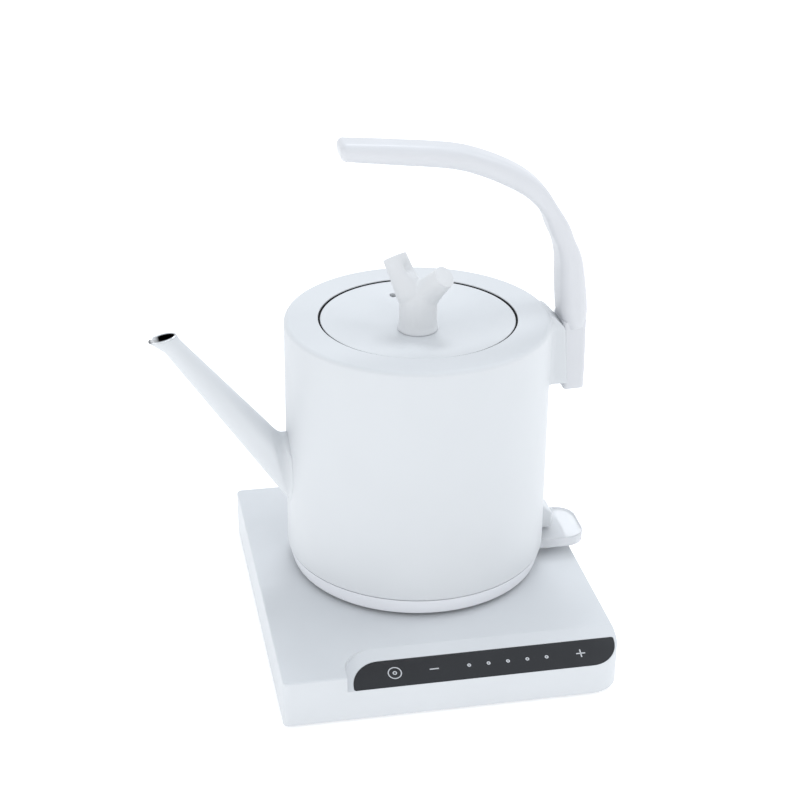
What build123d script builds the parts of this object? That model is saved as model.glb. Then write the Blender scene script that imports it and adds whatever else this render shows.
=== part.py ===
from build123d import *
from math import atan2, cos, degrees, hypot, pi, radians, sin, sqrt
import os

# Electric kettle on its power base. Lengths are in millimetres and angles in degrees.
# Everything is drawn about the kettle's axis with z = 0 on the base's top face,
# +X from the spout to the handle and -Y to the front, and moved to its place at the end.

# Kettle shell and skirt, which most other sizes follow
shell_radius = 62.0
shell_top = 126.1
shell_low = 10.2
shell_wall = 2.0
shell_edge = 2.2
top_plate = 2.4
rim_width = 15.8
mouth_radius = shell_radius - rim_width
skirt_step = 0.3
skirt_draw = 2.3
skirt_height = 8.3
skirt_top_radius = shell_radius - skirt_step
skirt_low_radius = skirt_top_radius - skirt_draw
skirt_low = shell_low - skirt_height
skirt_wall = 2.2
skirt_edge = 1.6
kettle_floor_rise = 0.4
kettle_floor_low = skirt_low + kettle_floor_rise
kettle_floor_thickness = 1.4
vent_slot_width = 2.4
vent_slot_length = 12.0
vent_slot_count = 6
vent_slot_first_angle = 105.0
vent_slot_step_angle = 30.0
floor_screw_count = 3

# Power base
base_left_margin = 17.1
base_right_margin = 14.8
base_front_margin = 38.5
base_back_margin = 15.0
base_left = shell_radius + base_left_margin
base_right = shell_radius + base_right_margin
base_front = shell_radius + base_front_margin
base_back = shell_radius + base_back_margin
base_height = 22.4
base_wall = 2.4
base_skin = 2.6
base_corner = 2.5
base_inner_corner = 1.0
base_round_corner = 14.5
base_edge = 0.9
band_depth = 20.5
band_drop = 7.5
band_inset = 28.5
band_left = base_left - band_inset
band_corner = 14.6
panel_inset_left = 3.3
panel_inset_right = 1.8
panel_left = band_left - panel_inset_left
panel_right = base_right - panel_inset_right
panel_gap_back = 7.2
panel_gap_front = 0.4
panel_corner_sharp = 1.0
panel_leaf_share = 0.95
panel_thickness = 1.6
pocket_play = 0.2
base_floor_thickness = 2.8
head_web = 1.0
floor_play = 0.25
foot_radius = 6.5
foot_height = 1.5
foot_inset = 16.0
boss_radius = 4.2
boss_inset = 30.0
screw_radius = 1.5
screw_head_radius = 2.9
screw_head_height = 1.7
screw_play = 0.05
base_screw_length = 9.0
rest_ring_inset = 9.4
rest_ring_width = 4.0
rest_ring_outer = skirt_low_radius - rest_ring_inset
rest_ring_inner = rest_ring_outer - rest_ring_width
rest_gap = 0.3

# Connector tower and its socket
tower_radius = 17.0
tower_flange_width = 3.0
tower_flange_radius = tower_radius + tower_flange_width
tower_height = 9.4
tower_bore = 2.6
groove_radius_inner = 7.0
groove_radius_outer = 11.5
groove_width = 2.6
groove_floor = 2.4
spring_width = 1.2
spring_height = 1.9
socket_side_gap = 0.6
socket_wall = 3.4
socket_recess = tower_radius + socket_side_gap
socket_outer = socket_recess + socket_wall
socket_low = 2.6
socket_roof_gap = 0.5
socket_roof_thickness = 3.7
socket_roof = tower_height + socket_roof_gap
socket_high = socket_roof + socket_roof_thickness
socket_play = 0.4
vent_slot_shift = 6.2
vent_slot_radius = (socket_outer + skirt_low_radius) / 2 - vent_slot_shift
ring_width = 1.0
contact_gap = 0.4
ring_low = groove_floor + spring_height + contact_gap

# Lead outlet in the base's back wall
gland_x = 30.0
gland_drop = (base_skin + base_height - base_floor_thickness) / 2
gland_radius = 5.2
gland_flange = 7.0
gland_flange_depth = 1.6
gland_inner_flange = 6.4
gland_inner_depth = 2.4
gland_bore = 3.4
inlet_width = 24.0
inlet_depth = 14.0
inlet_height = 11.0
inlet_gap = 12.0

# Board under the panel
board_width = 96.0
board_depth = 14.0
board_thickness = 1.6
board_rise = 0.8
board_low = base_height - base_floor_thickness - board_rise - board_thickness
board_x = 12.0
board_front_gap = 6.0
post_radius = 2.2
lamp_size = 3.0
lamp_height = 1.4
lamp_count = 5
lamp_pitch_share = 0.14
lamp_pitch = board_width * lamp_pitch_share

# Vessel and heater
steam_gap = 2.6
pot_radius = shell_radius - shell_wall - steam_gap
pot_wall = 0.8
pot_rise = 11.8
pot_low = shell_low + pot_rise
gasket_thickness = 1.0
flange_top = shell_top - top_plate - gasket_thickness
neck_height = 6.7
pot_shoulder = flange_top - neck_height
pot_bottom_round = 7.0
pot_shoulder_round = 8.0
neck_inset = 2.0
neck_radius = mouth_radius - neck_inset
flange_width = 5.8
flange_radius = neck_radius + flange_width
gasket_inset = 0.4
gasket_inner = mouth_radius + gasket_inset
gasket_outer = flange_radius - gasket_inset
plate_inset = 11.4
plate_radius = pot_radius - plate_inset
plate_thickness = 2.6
element_inset = 10.0
element_ring_radius = plate_radius - element_inset
element_tube_radius = 3.2
element_open_angle = 46.0
element_pin_radius = 1.4
element_pin_length = 5.0

# Spout: a straight tapered tube in the plane of the handle
spout_reach = 51.4
spout_tip_drop = 6.0
spout_tip_x = shell_radius + spout_reach
spout_tip_z = shell_top - spout_tip_drop
spout_tip_radius = 4.6
spout_rise_angle = 53.0
spout_taper_share = 0.0485
spout_bite = 10.0
collar_start_share = 0.68
spout_length = collar_start_share * spout_reach / cos(radians(spout_rise_angle))
spout_deep = (spout_tip_x - pot_radius + spout_bite) / cos(radians(spout_rise_angle))
collar_fillet = 3.6
spout_skin = 1.0
liner_wall = 0.6
liner_play = 0.05
lip_step = 4.1
lip_rise = 3.8
lip_x = spout_tip_x + lip_step
lip_z = spout_tip_z + lip_rise
lip_tilt_angle = 12.4
lip_reach = 6.7
lip_half_width = 4.5
lip_proud = 0.5
strainer_half_width = 13.5
strainer_lift = 0.3
strainer_height = 36.0
strainer_low = pot_low + pot_bottom_round + strainer_lift
strainer_high = strainer_low + strainer_height
strainer_thickness = 0.6
strainer_hole = 1.3
strainer_pitch = 4.2
strainer_columns = 5
strainer_rows = 7

# Lid
lid_gap = 0.9
lid_radius = mouth_radius - lid_gap
lid_dish = 6.2
lid_thickness = 2.4
lid_rim_depth = 3.1
lid_rim_low = shell_top - lid_rim_depth
lid_rim_width = 2.4
lid_rim_inner = lid_radius - lid_rim_width
lid_edge = 0.5
vent_out_share = 0.75
vent_angle = 98.8
vent_radius = 1.7
seal_gap = 0.6
seal_width = 4.2
seal_rise = 1.2
seal_height = 3.2
seal_lip = 1.0
seal_outer = neck_radius - pot_wall - seal_gap
seal_low = pot_shoulder + seal_rise
seal_high = seal_low + seal_height
cup_radius = seal_outer - seal_width
cup_wall = 0.8
cup_depth = 16.1
cup_low = shell_top - cup_depth
cup_round = 2.5
cup_vent_radius = 1.5
cup_vent_count = 6
cup_vent_inset = 12.6
cup_vent_ring = cup_radius - cup_vent_inset

# Twig knob
knob_radius = 8.8
knob_foot_radius = 10.2
knob_foot_height = 2.6
knob_fork_rise = 12.9
knob_fork_z = shell_top + knob_fork_rise
knob_dome_drop = 4.0
twig_left_radius = 6.1
twig_left_lean_angle = 43.1
twig_left_turn_angle = 136.7
twig_left_length = 18.2
twig_right_radius = 5.6
twig_right_lean_angle = 53.4
twig_right_turn_angle = -48.9
twig_right_length = 16.5
twig_edge = 0.6
knob_screw_radius = 2.0
knob_screw_head = 3.6
knob_screw_head_height = 2.2
knob_screw_length = 13.0

# Handle: places back from the foot beside the shell to the free end over the lid
handle_foot_out = 12.2
handle_root_in = 1.4
handle_leg_in = 3.2
handle_pinch_in = 5.6
handle_bend_in = 15.0
handle_crook_in = 33.2
handle_grip_in = 60.7
handle_end_in = 108.1
handle_foot_x = shell_radius + handle_foot_out
handle_root_x = handle_foot_x - handle_root_in
handle_leg_x = handle_foot_x - handle_leg_in
handle_pinch_x = handle_foot_x - handle_pinch_in
handle_bend_x = handle_foot_x - handle_bend_in
handle_crook_x = handle_foot_x - handle_crook_in
handle_grip_x = handle_foot_x - handle_grip_in
handle_end_x = handle_foot_x - handle_end_in
handle_foot_down = 38.5
handle_root_down = 6.1
handle_leg_up = 20.4
handle_pinch_up = 33.9
handle_bend_up = 50.1
handle_crook_up = 66.9
handle_grip_up = 77.0
handle_end_up = 82.1
handle_foot_z = shell_top - handle_foot_down
handle_root_z = shell_top - handle_root_down
handle_leg_z = shell_top + handle_leg_up
handle_pinch_z = shell_top + handle_pinch_up
handle_bend_z = shell_top + handle_bend_up
handle_crook_z = shell_top + handle_crook_up
handle_grip_z = shell_top + handle_grip_up
handle_end_z = shell_top + handle_end_up
grip_half_thickness = 5.0
grip_half_width = 8.0
crook_half_thickness = 5.1
crook_half_width = 8.4
bend_half_thickness = 4.7
bend_half_width = 8.6
pinch_half_thickness = 4.0
pinch_half_width = 9.0
leg_half_thickness = 5.6
leg_half_width = 9.6
root_half_thickness = 6.0
root_half_width = 10.0
foot_half_thickness = 5.0
foot_half_width = 9.4
grip_round_share = 0.9
leg_round_share = 0.5
handle_end_tilt = 13.7
handle_end_edge = 1.8
end_round_share = 0.7
end_half_thickness = 5.4
handle_foot_edge = 0.8
bracket_half_width = 9.7
bracket_rise = 2.7
bracket_drop = 1.5
bracket_screw_inset = 6.6
bracket_low = handle_foot_z + bracket_rise
bracket_high = handle_root_z - bracket_drop
bracket_screw_low = bracket_low + bracket_screw_inset
bracket_screw_high = bracket_high - bracket_screw_inset
bracket_edge = 0.8
bracket_bite = 0.8

# Switch paddle and the parts it works
pivot_inset = 12.0
pivot_rise = 4.7
pivot_x = shell_radius - pivot_inset
pivot_z = skirt_low + pivot_rise
lever_length = 33.3
lever_under = 2.7
lever_over = 2.5
lever_tip = pivot_x + lever_length
lever_low = pivot_z - lever_under
lever_high = pivot_z + lever_over
lever_half_width = 15.4
lever_corner = 9.5
lever_edge = 0.7
hub_radius = 2.6
pin_radius = 1.5
pin_play = 0.05
ear_gap = 1.0
ear_thickness = 2.2
pin_proud = 0.2
ear_inner = lever_half_width + ear_gap
ear_outer = ear_inner + ear_thickness
pin_reach = ear_outer + pin_proud
ear_radius = 3.4
nose_reach = 7.0
nose_half_width = 3.0
slot_play = 0.7
rod_inset = 5.4
rod_rise = 2.0
rod_x = pivot_x - rod_inset
rod_low = pivot_z + rod_rise
rod_radius = 1.5
rod_play = 0.05
control_margin = 2.4
control_gap = 3.0
control_rise = 2.8
control_thickness = 3.0
control_right = rod_x + control_margin
control_left = socket_outer + control_gap
control_low = pivot_z + control_rise
control_high = control_low + control_thickness
control_half_width = 13.0
control_leg_width = 2.2
control_leg_depth = 4.2
rod_head_rise = 4.0
rod_high = control_high + rod_head_rise
bimetal_radius = 2.8
bimetal_thickness = 0.6
bimetal_x = (control_left + control_right) / 2
steam_tube_wall = 0.5
steam_tube_angle = 58.0
hood_rise = 0.6
hood_face_height = 7.8
hood_slope_height = 5.0
hood_low = shell_low + hood_rise
hood_face_high = hood_low + hood_face_height
hood_high = hood_face_high + hood_slope_height
hood_reach = 5.6
hood_half_width = 6.5
hood_edge = 1.0


def bar(x_low, x_high, y_low, y_high, z_low, z_high):
    """A block between the given limits."""
    middle = ((x_low + x_high) / 2, (y_low + y_high) / 2, (z_low + z_high) / 2)
    return Pos(*middle) * Box(x_high - x_low, y_high - y_low, z_high - z_low)


def rod_z(radius, z_low, z_high, x=0, y=0):
    """An upright round bar."""
    return Pos(x, y, (z_low + z_high) / 2) * Cylinder(radius, z_high - z_low)


def rod_y(radius, y_low, y_high, x, z):
    """A round bar along Y."""
    return Pos(x, (y_low + y_high) / 2, z) * Rot(90, 0, 0) * Cylinder(radius, y_high - y_low)


def rod_x_bar(radius, x_low, x_high, y, z):
    """A round bar along X."""
    return Pos((x_low + x_high) / 2, y, z) * Rot(0, 90, 0) * Cylinder(radius, x_high - x_low)


def tube(outer, inner, z_low, z_high):
    """A ring about the kettle's axis."""
    return rod_z(outer, z_low, z_high) - rod_z(inner, z_low, z_high)


def top_edges(shape):
    """The edges of the highest flat face."""
    return shape.faces().sort_by(Axis.Z)[-1].edges()


# Power base


def base_outline(inset):
    """Plan of the base with one large corner at the front right."""
    left, right = -base_left + inset, base_right - inset
    front, back = -base_front + inset, base_back - inset
    plan = make_face(Polyline((left, front), (right, front), (right, back), (left, back), close=True))
    round_corner = plan.vertices().group_by(Axis.Y)[0].sort_by(Axis.X)[-1]
    plan = fillet(round_corner, base_round_corner - inset)
    others = [v for v in plan.vertices() if v.X < left + base_edge or v.Y > back - base_edge]
    return fillet(others, max(base_corner - inset, base_inner_corner))


def above_band(drop):
    """The space above the band's slope, lowered by a drop."""
    slope = degrees(atan2(band_drop, band_depth))
    reach = base_front + base_back
    slab = Box(reach * 2, reach * 2, reach, align=(Align.CENTER, Align.CENTER, Align.MIN))
    return Pos(0, -base_front + band_depth, -drop) * Rot(slope, 0, 0) * slab


def band_space(grow, drop):
    """The wedge that the sloped band takes out of the base."""
    left = -band_left - grow
    back = -base_front + band_depth + grow
    front = -base_front * 2
    right = base_right * 2
    plan = make_face(Polyline((left, front), (right, front), (right, back), (left, back), close=True))
    corner = plan.vertices().group_by(Axis.Y)[-1].sort_by(Axis.X)[0]
    plan = fillet(corner, band_corner + grow)
    return Pos(0, 0, -base_height) * extrude(plan, base_height * 2) & above_band(drop)


def panel_outline(play):
    """The leaf-shaped outline on the band, with two long rounds and two sharp corners."""
    slope = atan2(band_drop, band_depth)
    length = band_depth / cos(slope)
    left, right = -panel_left - play, panel_right + play
    back, front = -panel_gap_back + play, -length + panel_gap_front - play
    plan = make_face(Polyline((left, front), (right, front), (right, back), (left, back), close=True))
    ordered = plan.vertices().group_by(Axis.Y)
    front_left, front_right = ordered[0].sort_by(Axis.X)
    back_left, back_right = ordered[-1].sort_by(Axis.X)
    plan = fillet([front_left, back_right], panel_corner_sharp)
    rounds = [v for v in plan.vertices() if near(v, left, back) or near(v, right, front)]
    return fillet(rounds, (back - front) * panel_leaf_share - panel_corner_sharp)


def near(vertex, x, y):
    """True for a vertex at the given place."""
    return hypot(vertex.X - x, vertex.Y - y) < panel_corner_sharp / 2


def on_band(plan, low, high):
    """Raises a plan on the sloped band between two heights above its face."""
    slope = degrees(atan2(band_drop, band_depth))
    block = Pos(0, 0, low) * extrude(plan, high - low)
    return Pos(0, -base_front + band_depth, 0) * Rot(slope, 0, 0) * block


def corner_places(inset):
    """Four places near the base's corners."""
    for x in (-base_left + inset, base_right - inset):
        for y in (-base_front + inset, base_back - inset):
            yield x, y


def make_base_housing():
    """Thin-walled housing with its band, panel pocket, screw bosses, rest ring and openings."""
    block = Pos(0, 0, -base_height) * extrude(base_outline(0), base_height)
    block = fillet(top_edges(block), base_edge)
    block -= band_space(0, 0)
    hollow = Pos(0, 0, -base_height) * extrude(base_outline(base_wall), base_height - base_skin)
    hollow -= band_space(base_wall, base_skin + panel_thickness)
    housing = block - hollow
    for x, y in corner_places(boss_inset):
        boss = rod_z(boss_radius, -base_height + base_floor_thickness, -base_skin, x, y)
        housing += boss & block
    for x in (board_x - board_width / 3, board_x + board_width / 3):
        post = rod_z(post_radius, -board_low, -base_skin, x, board_y())
        housing += post & block
    for x, y in corner_places(boss_inset):
        housing -= rod_z(screw_radius + screw_play, -base_height, base_screw_seat() + base_screw_length, x, y)
    housing += tube(rest_ring_outer, rest_ring_inner, -base_skin / 2, kettle_floor_low - rest_gap)
    housing -= rod_z(tower_radius + pocket_play, -base_height, base_height)
    housing -= on_band(panel_outline(pocket_play), -panel_thickness, base_height)
    housing -= rod_y(gland_radius, 0, base_back * 2, gland_x, -gland_drop)
    return housing


def board_y():
    """How far forward the board sits."""
    return -base_front + base_wall + board_front_gap + board_depth / 2


def make_base_panel():
    """The leaf-shaped panel, flush with the band."""
    return on_band(panel_outline(0), -panel_thickness, 0)


def make_base_floor():
    """Cover with screw holes and air slots."""
    inset = base_wall + floor_play
    plate = Pos(0, 0, -base_height) * extrude(base_outline(inset), base_floor_thickness)
    for x, y in corner_places(boss_inset):
        plate -= rod_z(screw_radius + screw_play, -base_height * 2, 0, x, y)
        plate -= rod_z(screw_head_radius + screw_play, -base_height * 2, base_screw_seat() - head_web, x, y)
    for step in range(vent_slot_count):
        plate -= bar(step_x(step), step_x(step) + vent_slot_width, 0, vent_slot_radius, -base_height * 2, 0)
    return plate


def base_screw_seat():
    """Height of the face the base screws' heads press on."""
    return -base_height + base_floor_thickness


def step_x(step):
    """Left side of one air slot in the base's cover."""
    return (step - vent_slot_count / 2) * vent_slot_width * 3


def make_base_feet():
    """Four round feet under the cover."""
    low = -base_height - foot_height
    feet = [rod_z(foot_radius, low, -base_height, x, y) for x, y in corner_places(foot_inset)]
    return Compound(children=[fillet(foot.edges().sort_by(Axis.Z)[0], foot_height / 3) for foot in feet])


def screw(length, x, y, z_seat):
    """A screw driven upward, its head's top face at the seat."""
    head = rod_z(screw_head_radius, z_seat - screw_head_height, z_seat, x, y)
    shank = rod_z(screw_radius, z_seat, z_seat + length, x, y)
    cut = bar(x - screw_head_radius, x + screw_head_radius, y - screw_radius / 4, y + screw_radius / 4,
              z_seat - screw_head_height, z_seat - screw_head_height / 2)
    return head + shank - cut


def make_base_screws():
    """Four screws that hold the cover."""
    seat = base_screw_seat() - head_web
    return Compound(children=[screw(base_screw_length, x, y, seat) for x, y in corner_places(boss_inset)])


def make_base_tower():
    """Round tower with two ring grooves and a centre bore."""
    tower = rod_z(tower_radius, -base_skin * 2, tower_height)
    tower = fillet(top_edges(tower), base_edge)
    tower += tube(tower_flange_radius, tower_radius / 2, -base_skin * 2, -base_skin)
    for radius in (groove_radius_inner, groove_radius_outer):
        tower -= tube(radius + groove_width / 2, radius - groove_width / 2, groove_floor, tower_height * 2)
    tower -= rod_z(tower_bore, groove_floor, tower_height * 2)
    return tower


def make_tower_contacts():
    """Ring springs on the grooves' floors and a spring in the centre bore."""
    parts = []
    for radius in (groove_radius_inner, groove_radius_outer):
        outer, inner = radius + spring_width / 2, radius - spring_width / 2
        parts.append(tube(outer, inner, groove_floor, groove_floor + spring_height))
    parts.append(rod_z(spring_width, groove_floor, groove_floor + spring_height))
    return Compound(children=parts)


def make_cord_gland():
    """Bushing with a bore for the lead, flanged on both faces of the wall."""
    outside = base_back
    inside = base_back - base_wall
    gland = rod_y(gland_radius, inside, outside, gland_x, -gland_drop)
    gland += rod_y(gland_flange, outside, outside + gland_flange_depth, gland_x, -gland_drop)
    gland += rod_y(gland_inner_flange, inside - gland_inner_depth, inside, gland_x, -gland_drop)
    return gland - rod_y(gland_bore, inside - inlet_gap, outside * 2, gland_x, -gland_drop)


def make_inlet_block():
    """Terminal block that stands on the cover, with two wire holes."""
    back = base_back - base_wall - inlet_gap
    low = -base_height + base_floor_thickness
    block = bar(gland_x - inlet_width / 2, gland_x + inlet_width / 2, back - inlet_depth, back,
                low, low + inlet_height)
    for side in (-1, 1):
        x = gland_x + side * inlet_width / 4
        block -= rod_y(screw_radius, back - inlet_depth / 2, back * 2, x, low + inlet_height / 2)
    return block


def make_panel_board():
    """Circuit board fixed to the posts under the panel."""
    y = board_y()
    board = bar(board_x - board_width / 2, board_x + board_width / 2, y - board_depth / 2, y + board_depth / 2,
                -board_low - board_thickness, -board_low)
    return board


def make_board_lamps():
    """A row of small lamps on the board."""
    lamps = []
    for step in range(lamp_count):
        x = board_x + (step - (lamp_count - 1) / 2) * lamp_pitch
        lamps.append(bar(x - lamp_size / 2, x + lamp_size / 2, board_y() - lamp_size / 2, board_y() + lamp_size / 2,
                         -board_low, -board_low + lamp_height))
    return Compound(children=lamps)


# Socket under the kettle


def make_socket_insert():
    """Round insert that drops over the tower."""
    insert = rod_z(socket_outer, socket_low, socket_high)
    insert = fillet(top_edges(insert), base_edge)
    return insert - rod_z(socket_recess, 0, socket_roof)


def make_socket_contacts():
    """Concentric rings and a pin that hang from the insert's roof."""
    parts = []
    for radius in (groove_radius_inner, groove_radius_outer):
        parts.append(tube(radius + ring_width / 2, radius - ring_width / 2, ring_low, socket_roof))
    parts.append(rod_z(spring_width, ring_low, socket_roof))
    return Compound(children=parts)


# Kettle


def spout_place(along):
    """Plane across the spout, a given distance behind its tip."""
    lean = radians(spout_rise_angle)
    way = (-cos(lean), 0, sin(lean))
    start = (-spout_tip_x - way[0] * along, 0, spout_tip_z - way[2] * along)
    return Plane(origin=start, x_dir=(0, 1, 0), z_dir=way)


def spout_radius(along):
    """Outside radius of the spout at a distance behind its tip."""
    return spout_tip_radius + spout_taper_share * along


def spout_cone(near_end, far_end, skin):
    """A stretch of the spout's cone, smaller by a skin."""
    near_face = spout_place(near_end) * Circle(spout_radius(near_end) - skin)
    far_face = spout_place(far_end) * Circle(spout_radius(far_end) - skin)
    return loft([far_face, near_face])


def lip_place(proud):
    """Plane of the pouring lip's rim."""
    tilt = radians(lip_tilt_angle)
    up = (-sin(tilt), 0, cos(tilt))
    start = (-lip_x + up[0] * proud, 0, lip_z + up[2] * proud)
    return Plane(origin=start, x_dir=(cos(tilt), 0, sin(tilt)), z_dir=up)


def spout_lip(skin, proud):
    """The tip's last stretch, which widens into the lip."""
    rim = lip_place(proud) * Ellipse(lip_reach - skin, lip_half_width - skin)
    return loft([spout_place(0) * Circle(spout_tip_radius - skin), rim])


def spout_body(skin, far_end, proud):
    """The spout from its lip down to a distance behind the tip."""
    return spout_cone(0, far_end, skin) + spout_lip(skin, proud)


def make_body_shell():
    """Straight shell with a flat top, a mouth and a filleted collar for the spout."""
    drum = rod_z(shell_radius, shell_low, shell_top)
    collar = spout_cone(spout_length, spout_deep, 0)
    joined = drum + collar
    seam = new_edges(drum, collar, combined=joined)
    shell = fillet(seam, collar_fillet)
    shell = fillet(shell.faces().sort_by(Axis.Z)[-1].edges(), shell_edge)
    shell -= rod_z(shell_radius - shell_wall, 0, shell_top - top_plate)
    shell -= rod_z(mouth_radius, 0, shell_top * 2)
    shell -= spout_cone(spout_length - spout_skin, spout_deep, spout_skin)
    for z in (bracket_screw_low, bracket_screw_high):
        shell -= rod_x_bar(screw_radius + screw_play, 0, shell_radius * 2, 0, z)
    return shell


def make_spout():
    """White outer cone of the spout."""
    return spout_body(0, spout_length, 0) - spout_body(spout_skin, spout_length, lip_proud)


def make_spout_liner():
    """Steel tube from the vessel's wall to the lip."""
    skin = spout_skin + liner_play
    liner = spout_body(skin, spout_deep, lip_proud)
    liner -= spout_body(skin + liner_wall, spout_deep, lip_proud * 3)
    return liner - rod_z(pot_radius, 0, shell_top)


def make_inner_pot():
    """Drawn vessel with a neck, a flange and an opening to the spout."""
    outside = rod_z(pot_radius, pot_low, pot_shoulder)
    outside = fillet(outside.edges().sort_by(Axis.Z)[0], pot_bottom_round)
    outside = fillet(top_edges(outside), pot_shoulder_round)
    outside += rod_z(neck_radius, pot_low, flange_top)
    outside += rod_z(flange_radius, flange_top - pot_wall, flange_top)
    inside = rod_z(pot_radius - pot_wall, pot_low + pot_wall, pot_shoulder - pot_wall)
    inside = fillet(inside.edges().sort_by(Axis.Z)[0], pot_bottom_round - pot_wall)
    inside = fillet(top_edges(inside), pot_shoulder_round - pot_wall)
    inside += rod_z(neck_radius - pot_wall, pot_low + pot_wall * 2, flange_top * 2)
    pot = outside - inside
    return pot - spout_cone(spout_length, spout_deep, spout_skin + liner_play + liner_wall)


def make_pot_gasket():
    """Flat ring between the vessel's flange and the shell's top."""
    return tube(gasket_outer, gasket_inner, flange_top, shell_top - top_plate)


def make_strainer():
    """Curved perforated plate against the vessel's wall."""
    outer = pot_radius - pot_wall
    ring = tube(outer, outer - strainer_thickness, strainer_low, strainer_high)
    plate = ring & bar(-outer * 2, 0, -strainer_half_width, strainer_half_width, strainer_low, strainer_high)
    middle = (strainer_low + strainer_high) / 2
    for column in range(strainer_columns):
        for row in range(strainer_rows):
            y = (column - (strainer_columns - 1) / 2) * strainer_pitch
            z = middle + (row - (strainer_rows - 1) / 2) * strainer_pitch
            plate -= rod_x_bar(strainer_hole, -outer * 2, 0, y, z)
    return plate


def make_heater_plate():
    """Round plate pressed to the vessel's floor."""
    plate = rod_z(plate_radius, pot_low - plate_thickness, pot_low)
    return fillet(plate.edges().sort_by(Axis.Z)[0], plate_thickness / 3)


def make_heating_element():
    """Open ring of tube under the plate, with two cold pins that point down."""
    height = pot_low - plate_thickness - element_tube_radius
    ring = Pos(0, 0, height) * Torus(element_ring_radius, element_tube_radius)
    half = element_open_angle / 2
    reach = element_ring_radius * 2
    wedge = make_face(Polyline((0, 0), (-reach, reach * sin(radians(half))), (-reach, -reach * sin(radians(half))),
                               close=True))
    ring -= extrude(wedge, shell_top)
    for side in (-1, 1):
        angle = pi - side * (radians(half) + element_pin_radius / element_ring_radius)
        x, y = element_ring_radius * cos(angle), element_ring_radius * sin(angle)
        low = height - element_tube_radius - element_pin_length
        ring += rod_z(element_pin_radius, low, height, x, y)
    return ring


def make_skirt():
    """Rounded band that draws in under the shell, open where the switch comes out."""
    outline = Polyline((skirt_top_radius, 0, shell_low), (skirt_low_radius, 0, skirt_low),
                       (skirt_low_radius - skirt_wall, 0, skirt_low), (skirt_top_radius - skirt_wall, 0, shell_low),
                       close=True)
    band = revolve(make_face(outline), Axis.Z)
    low_outer = band.edges().group_by(Axis.Z)[0].sort_by(SortBy.RADIUS)[-1]
    band = fillet(low_outer, skirt_edge)
    width = lever_half_width + slot_play
    return band - bar(0, shell_radius * 2, -width, width, 0, shell_low * 2)


def floor_radius():
    """Radius of the kettle's floor, inside the skirt."""
    share = (kettle_floor_low - skirt_low) / (shell_low - skirt_low)
    return skirt_low_radius - skirt_wall + share * (skirt_top_radius - skirt_low_radius)


def floor_screw_places():
    """Three places for the floor's screws."""
    for step in range(floor_screw_count):
        angle = (step + 1) * pi / 2
        yield vent_slot_radius * cos(angle), vent_slot_radius * sin(angle)


def make_kettle_floor():
    """Underside cover with vents, a hole for the insert and two ears for the switch's pin."""
    high = kettle_floor_low + kettle_floor_thickness
    plate = rod_z(floor_radius(), kettle_floor_low, high)
    width = lever_half_width + slot_play
    plate -= bar(pivot_x - nose_reach - slot_play, shell_radius, -width, width, 0, shell_top)
    for side in (-1, 1):
        low, top = sorted((side * ear_inner, side * ear_outer))
        plate += rod_y(ear_radius, low, top, pivot_x, pivot_z)
        plate += bar(pivot_x - ear_radius, pivot_x + ear_radius, low, top, kettle_floor_low, pivot_z)
    plate -= rod_y(pin_radius + pin_play, -pin_reach, pin_reach, pivot_x, pivot_z)
    plate -= rod_z(socket_outer + socket_play, 0, high * 2)
    for step in range(vent_slot_count):
        turn = Rot(0, 0, vent_slot_first_angle + step * vent_slot_step_angle)
        slot = bar(vent_slot_radius + vent_slot_width * 2, vent_slot_radius + vent_slot_length, -vent_slot_width / 2,
                   vent_slot_width / 2, 0, high * 2)
        plate -= turn * slot
    for x, y in floor_screw_places():
        plate += rod_z(boss_radius, high, floor_boss_top(), x, y)
        plate -= rod_z(screw_radius + screw_play, 0, shell_top, x, y)
        plate -= rod_z(screw_head_radius + screw_play, 0, floor_screw_seat(), x, y)
    return plate


def floor_screw_seat():
    """Height of the face the floor screws' heads press on."""
    return kettle_floor_low + screw_head_height


def floor_boss_top():
    """Height of the screw bosses on the kettle's floor."""
    return pot_low - plate_thickness - element_tube_radius * 2 - slot_play


def tube_at(outer, inner, z_low, z_high, x, y):
    """An upright ring away from the axis."""
    return rod_z(outer, z_low, z_high, x, y) - rod_z(inner, z_low, z_high, x, y)


def make_floor_screws():
    """Three screws in the kettle's floor."""
    seat = floor_screw_seat()
    length = floor_boss_top() - seat - slot_play
    return Compound(children=[screw(length, x, y, seat) for x, y in floor_screw_places()])


def make_control_housing():
    """Switch block with the rod's bore, standing on two legs on the floor."""
    block = bar(control_left, control_right, -control_half_width, control_half_width, control_low, control_high)
    floor_high = kettle_floor_low + kettle_floor_thickness
    for side in (-1, 1):
        low, top = sorted((side * control_half_width, side * (control_half_width - control_leg_width)))
        block += bar(control_left, control_left + control_leg_depth, low, top, floor_high, control_low)
    return block - rod_z(rod_radius + rod_play, 0, shell_top, rod_x, 0)


def make_bimetal_disc():
    """Snap disc against the side of the control block."""
    y = control_half_width
    z = control_high - bimetal_radius
    return rod_y(bimetal_radius, y, y + bimetal_thickness, bimetal_x, z)


def make_steam_tube():
    """Tube that hangs from the vessel's shoulder down to the level of the control."""
    angle = radians(steam_tube_angle)
    between = (pot_radius + shell_radius - shell_wall) / 2
    fit = (shell_radius - shell_wall - pot_radius) / 2
    x, y = between * cos(angle), between * sin(angle)
    return tube_at(fit, fit - steam_tube_wall, control_high, pot_shoulder - pot_shoulder_round, x, y)


def handle_station(place, aim, half_thickness, half_width, share, ahead=0):
    """One rounded cross-section of the handle at a place, square to the way to its aim."""
    way = Vector(aim[0] - place[0], 0, aim[1] - place[1]).normalized()
    start = (place[0] + way.X * ahead, 0, place[1] + way.Z * ahead)
    plane = Plane(origin=start, x_dir=(0, 1, 0), z_dir=way)
    outline = Rectangle(half_width * 2, half_thickness * 2)
    return plane * fillet(outline.vertices(), half_thickness * share)


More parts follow.
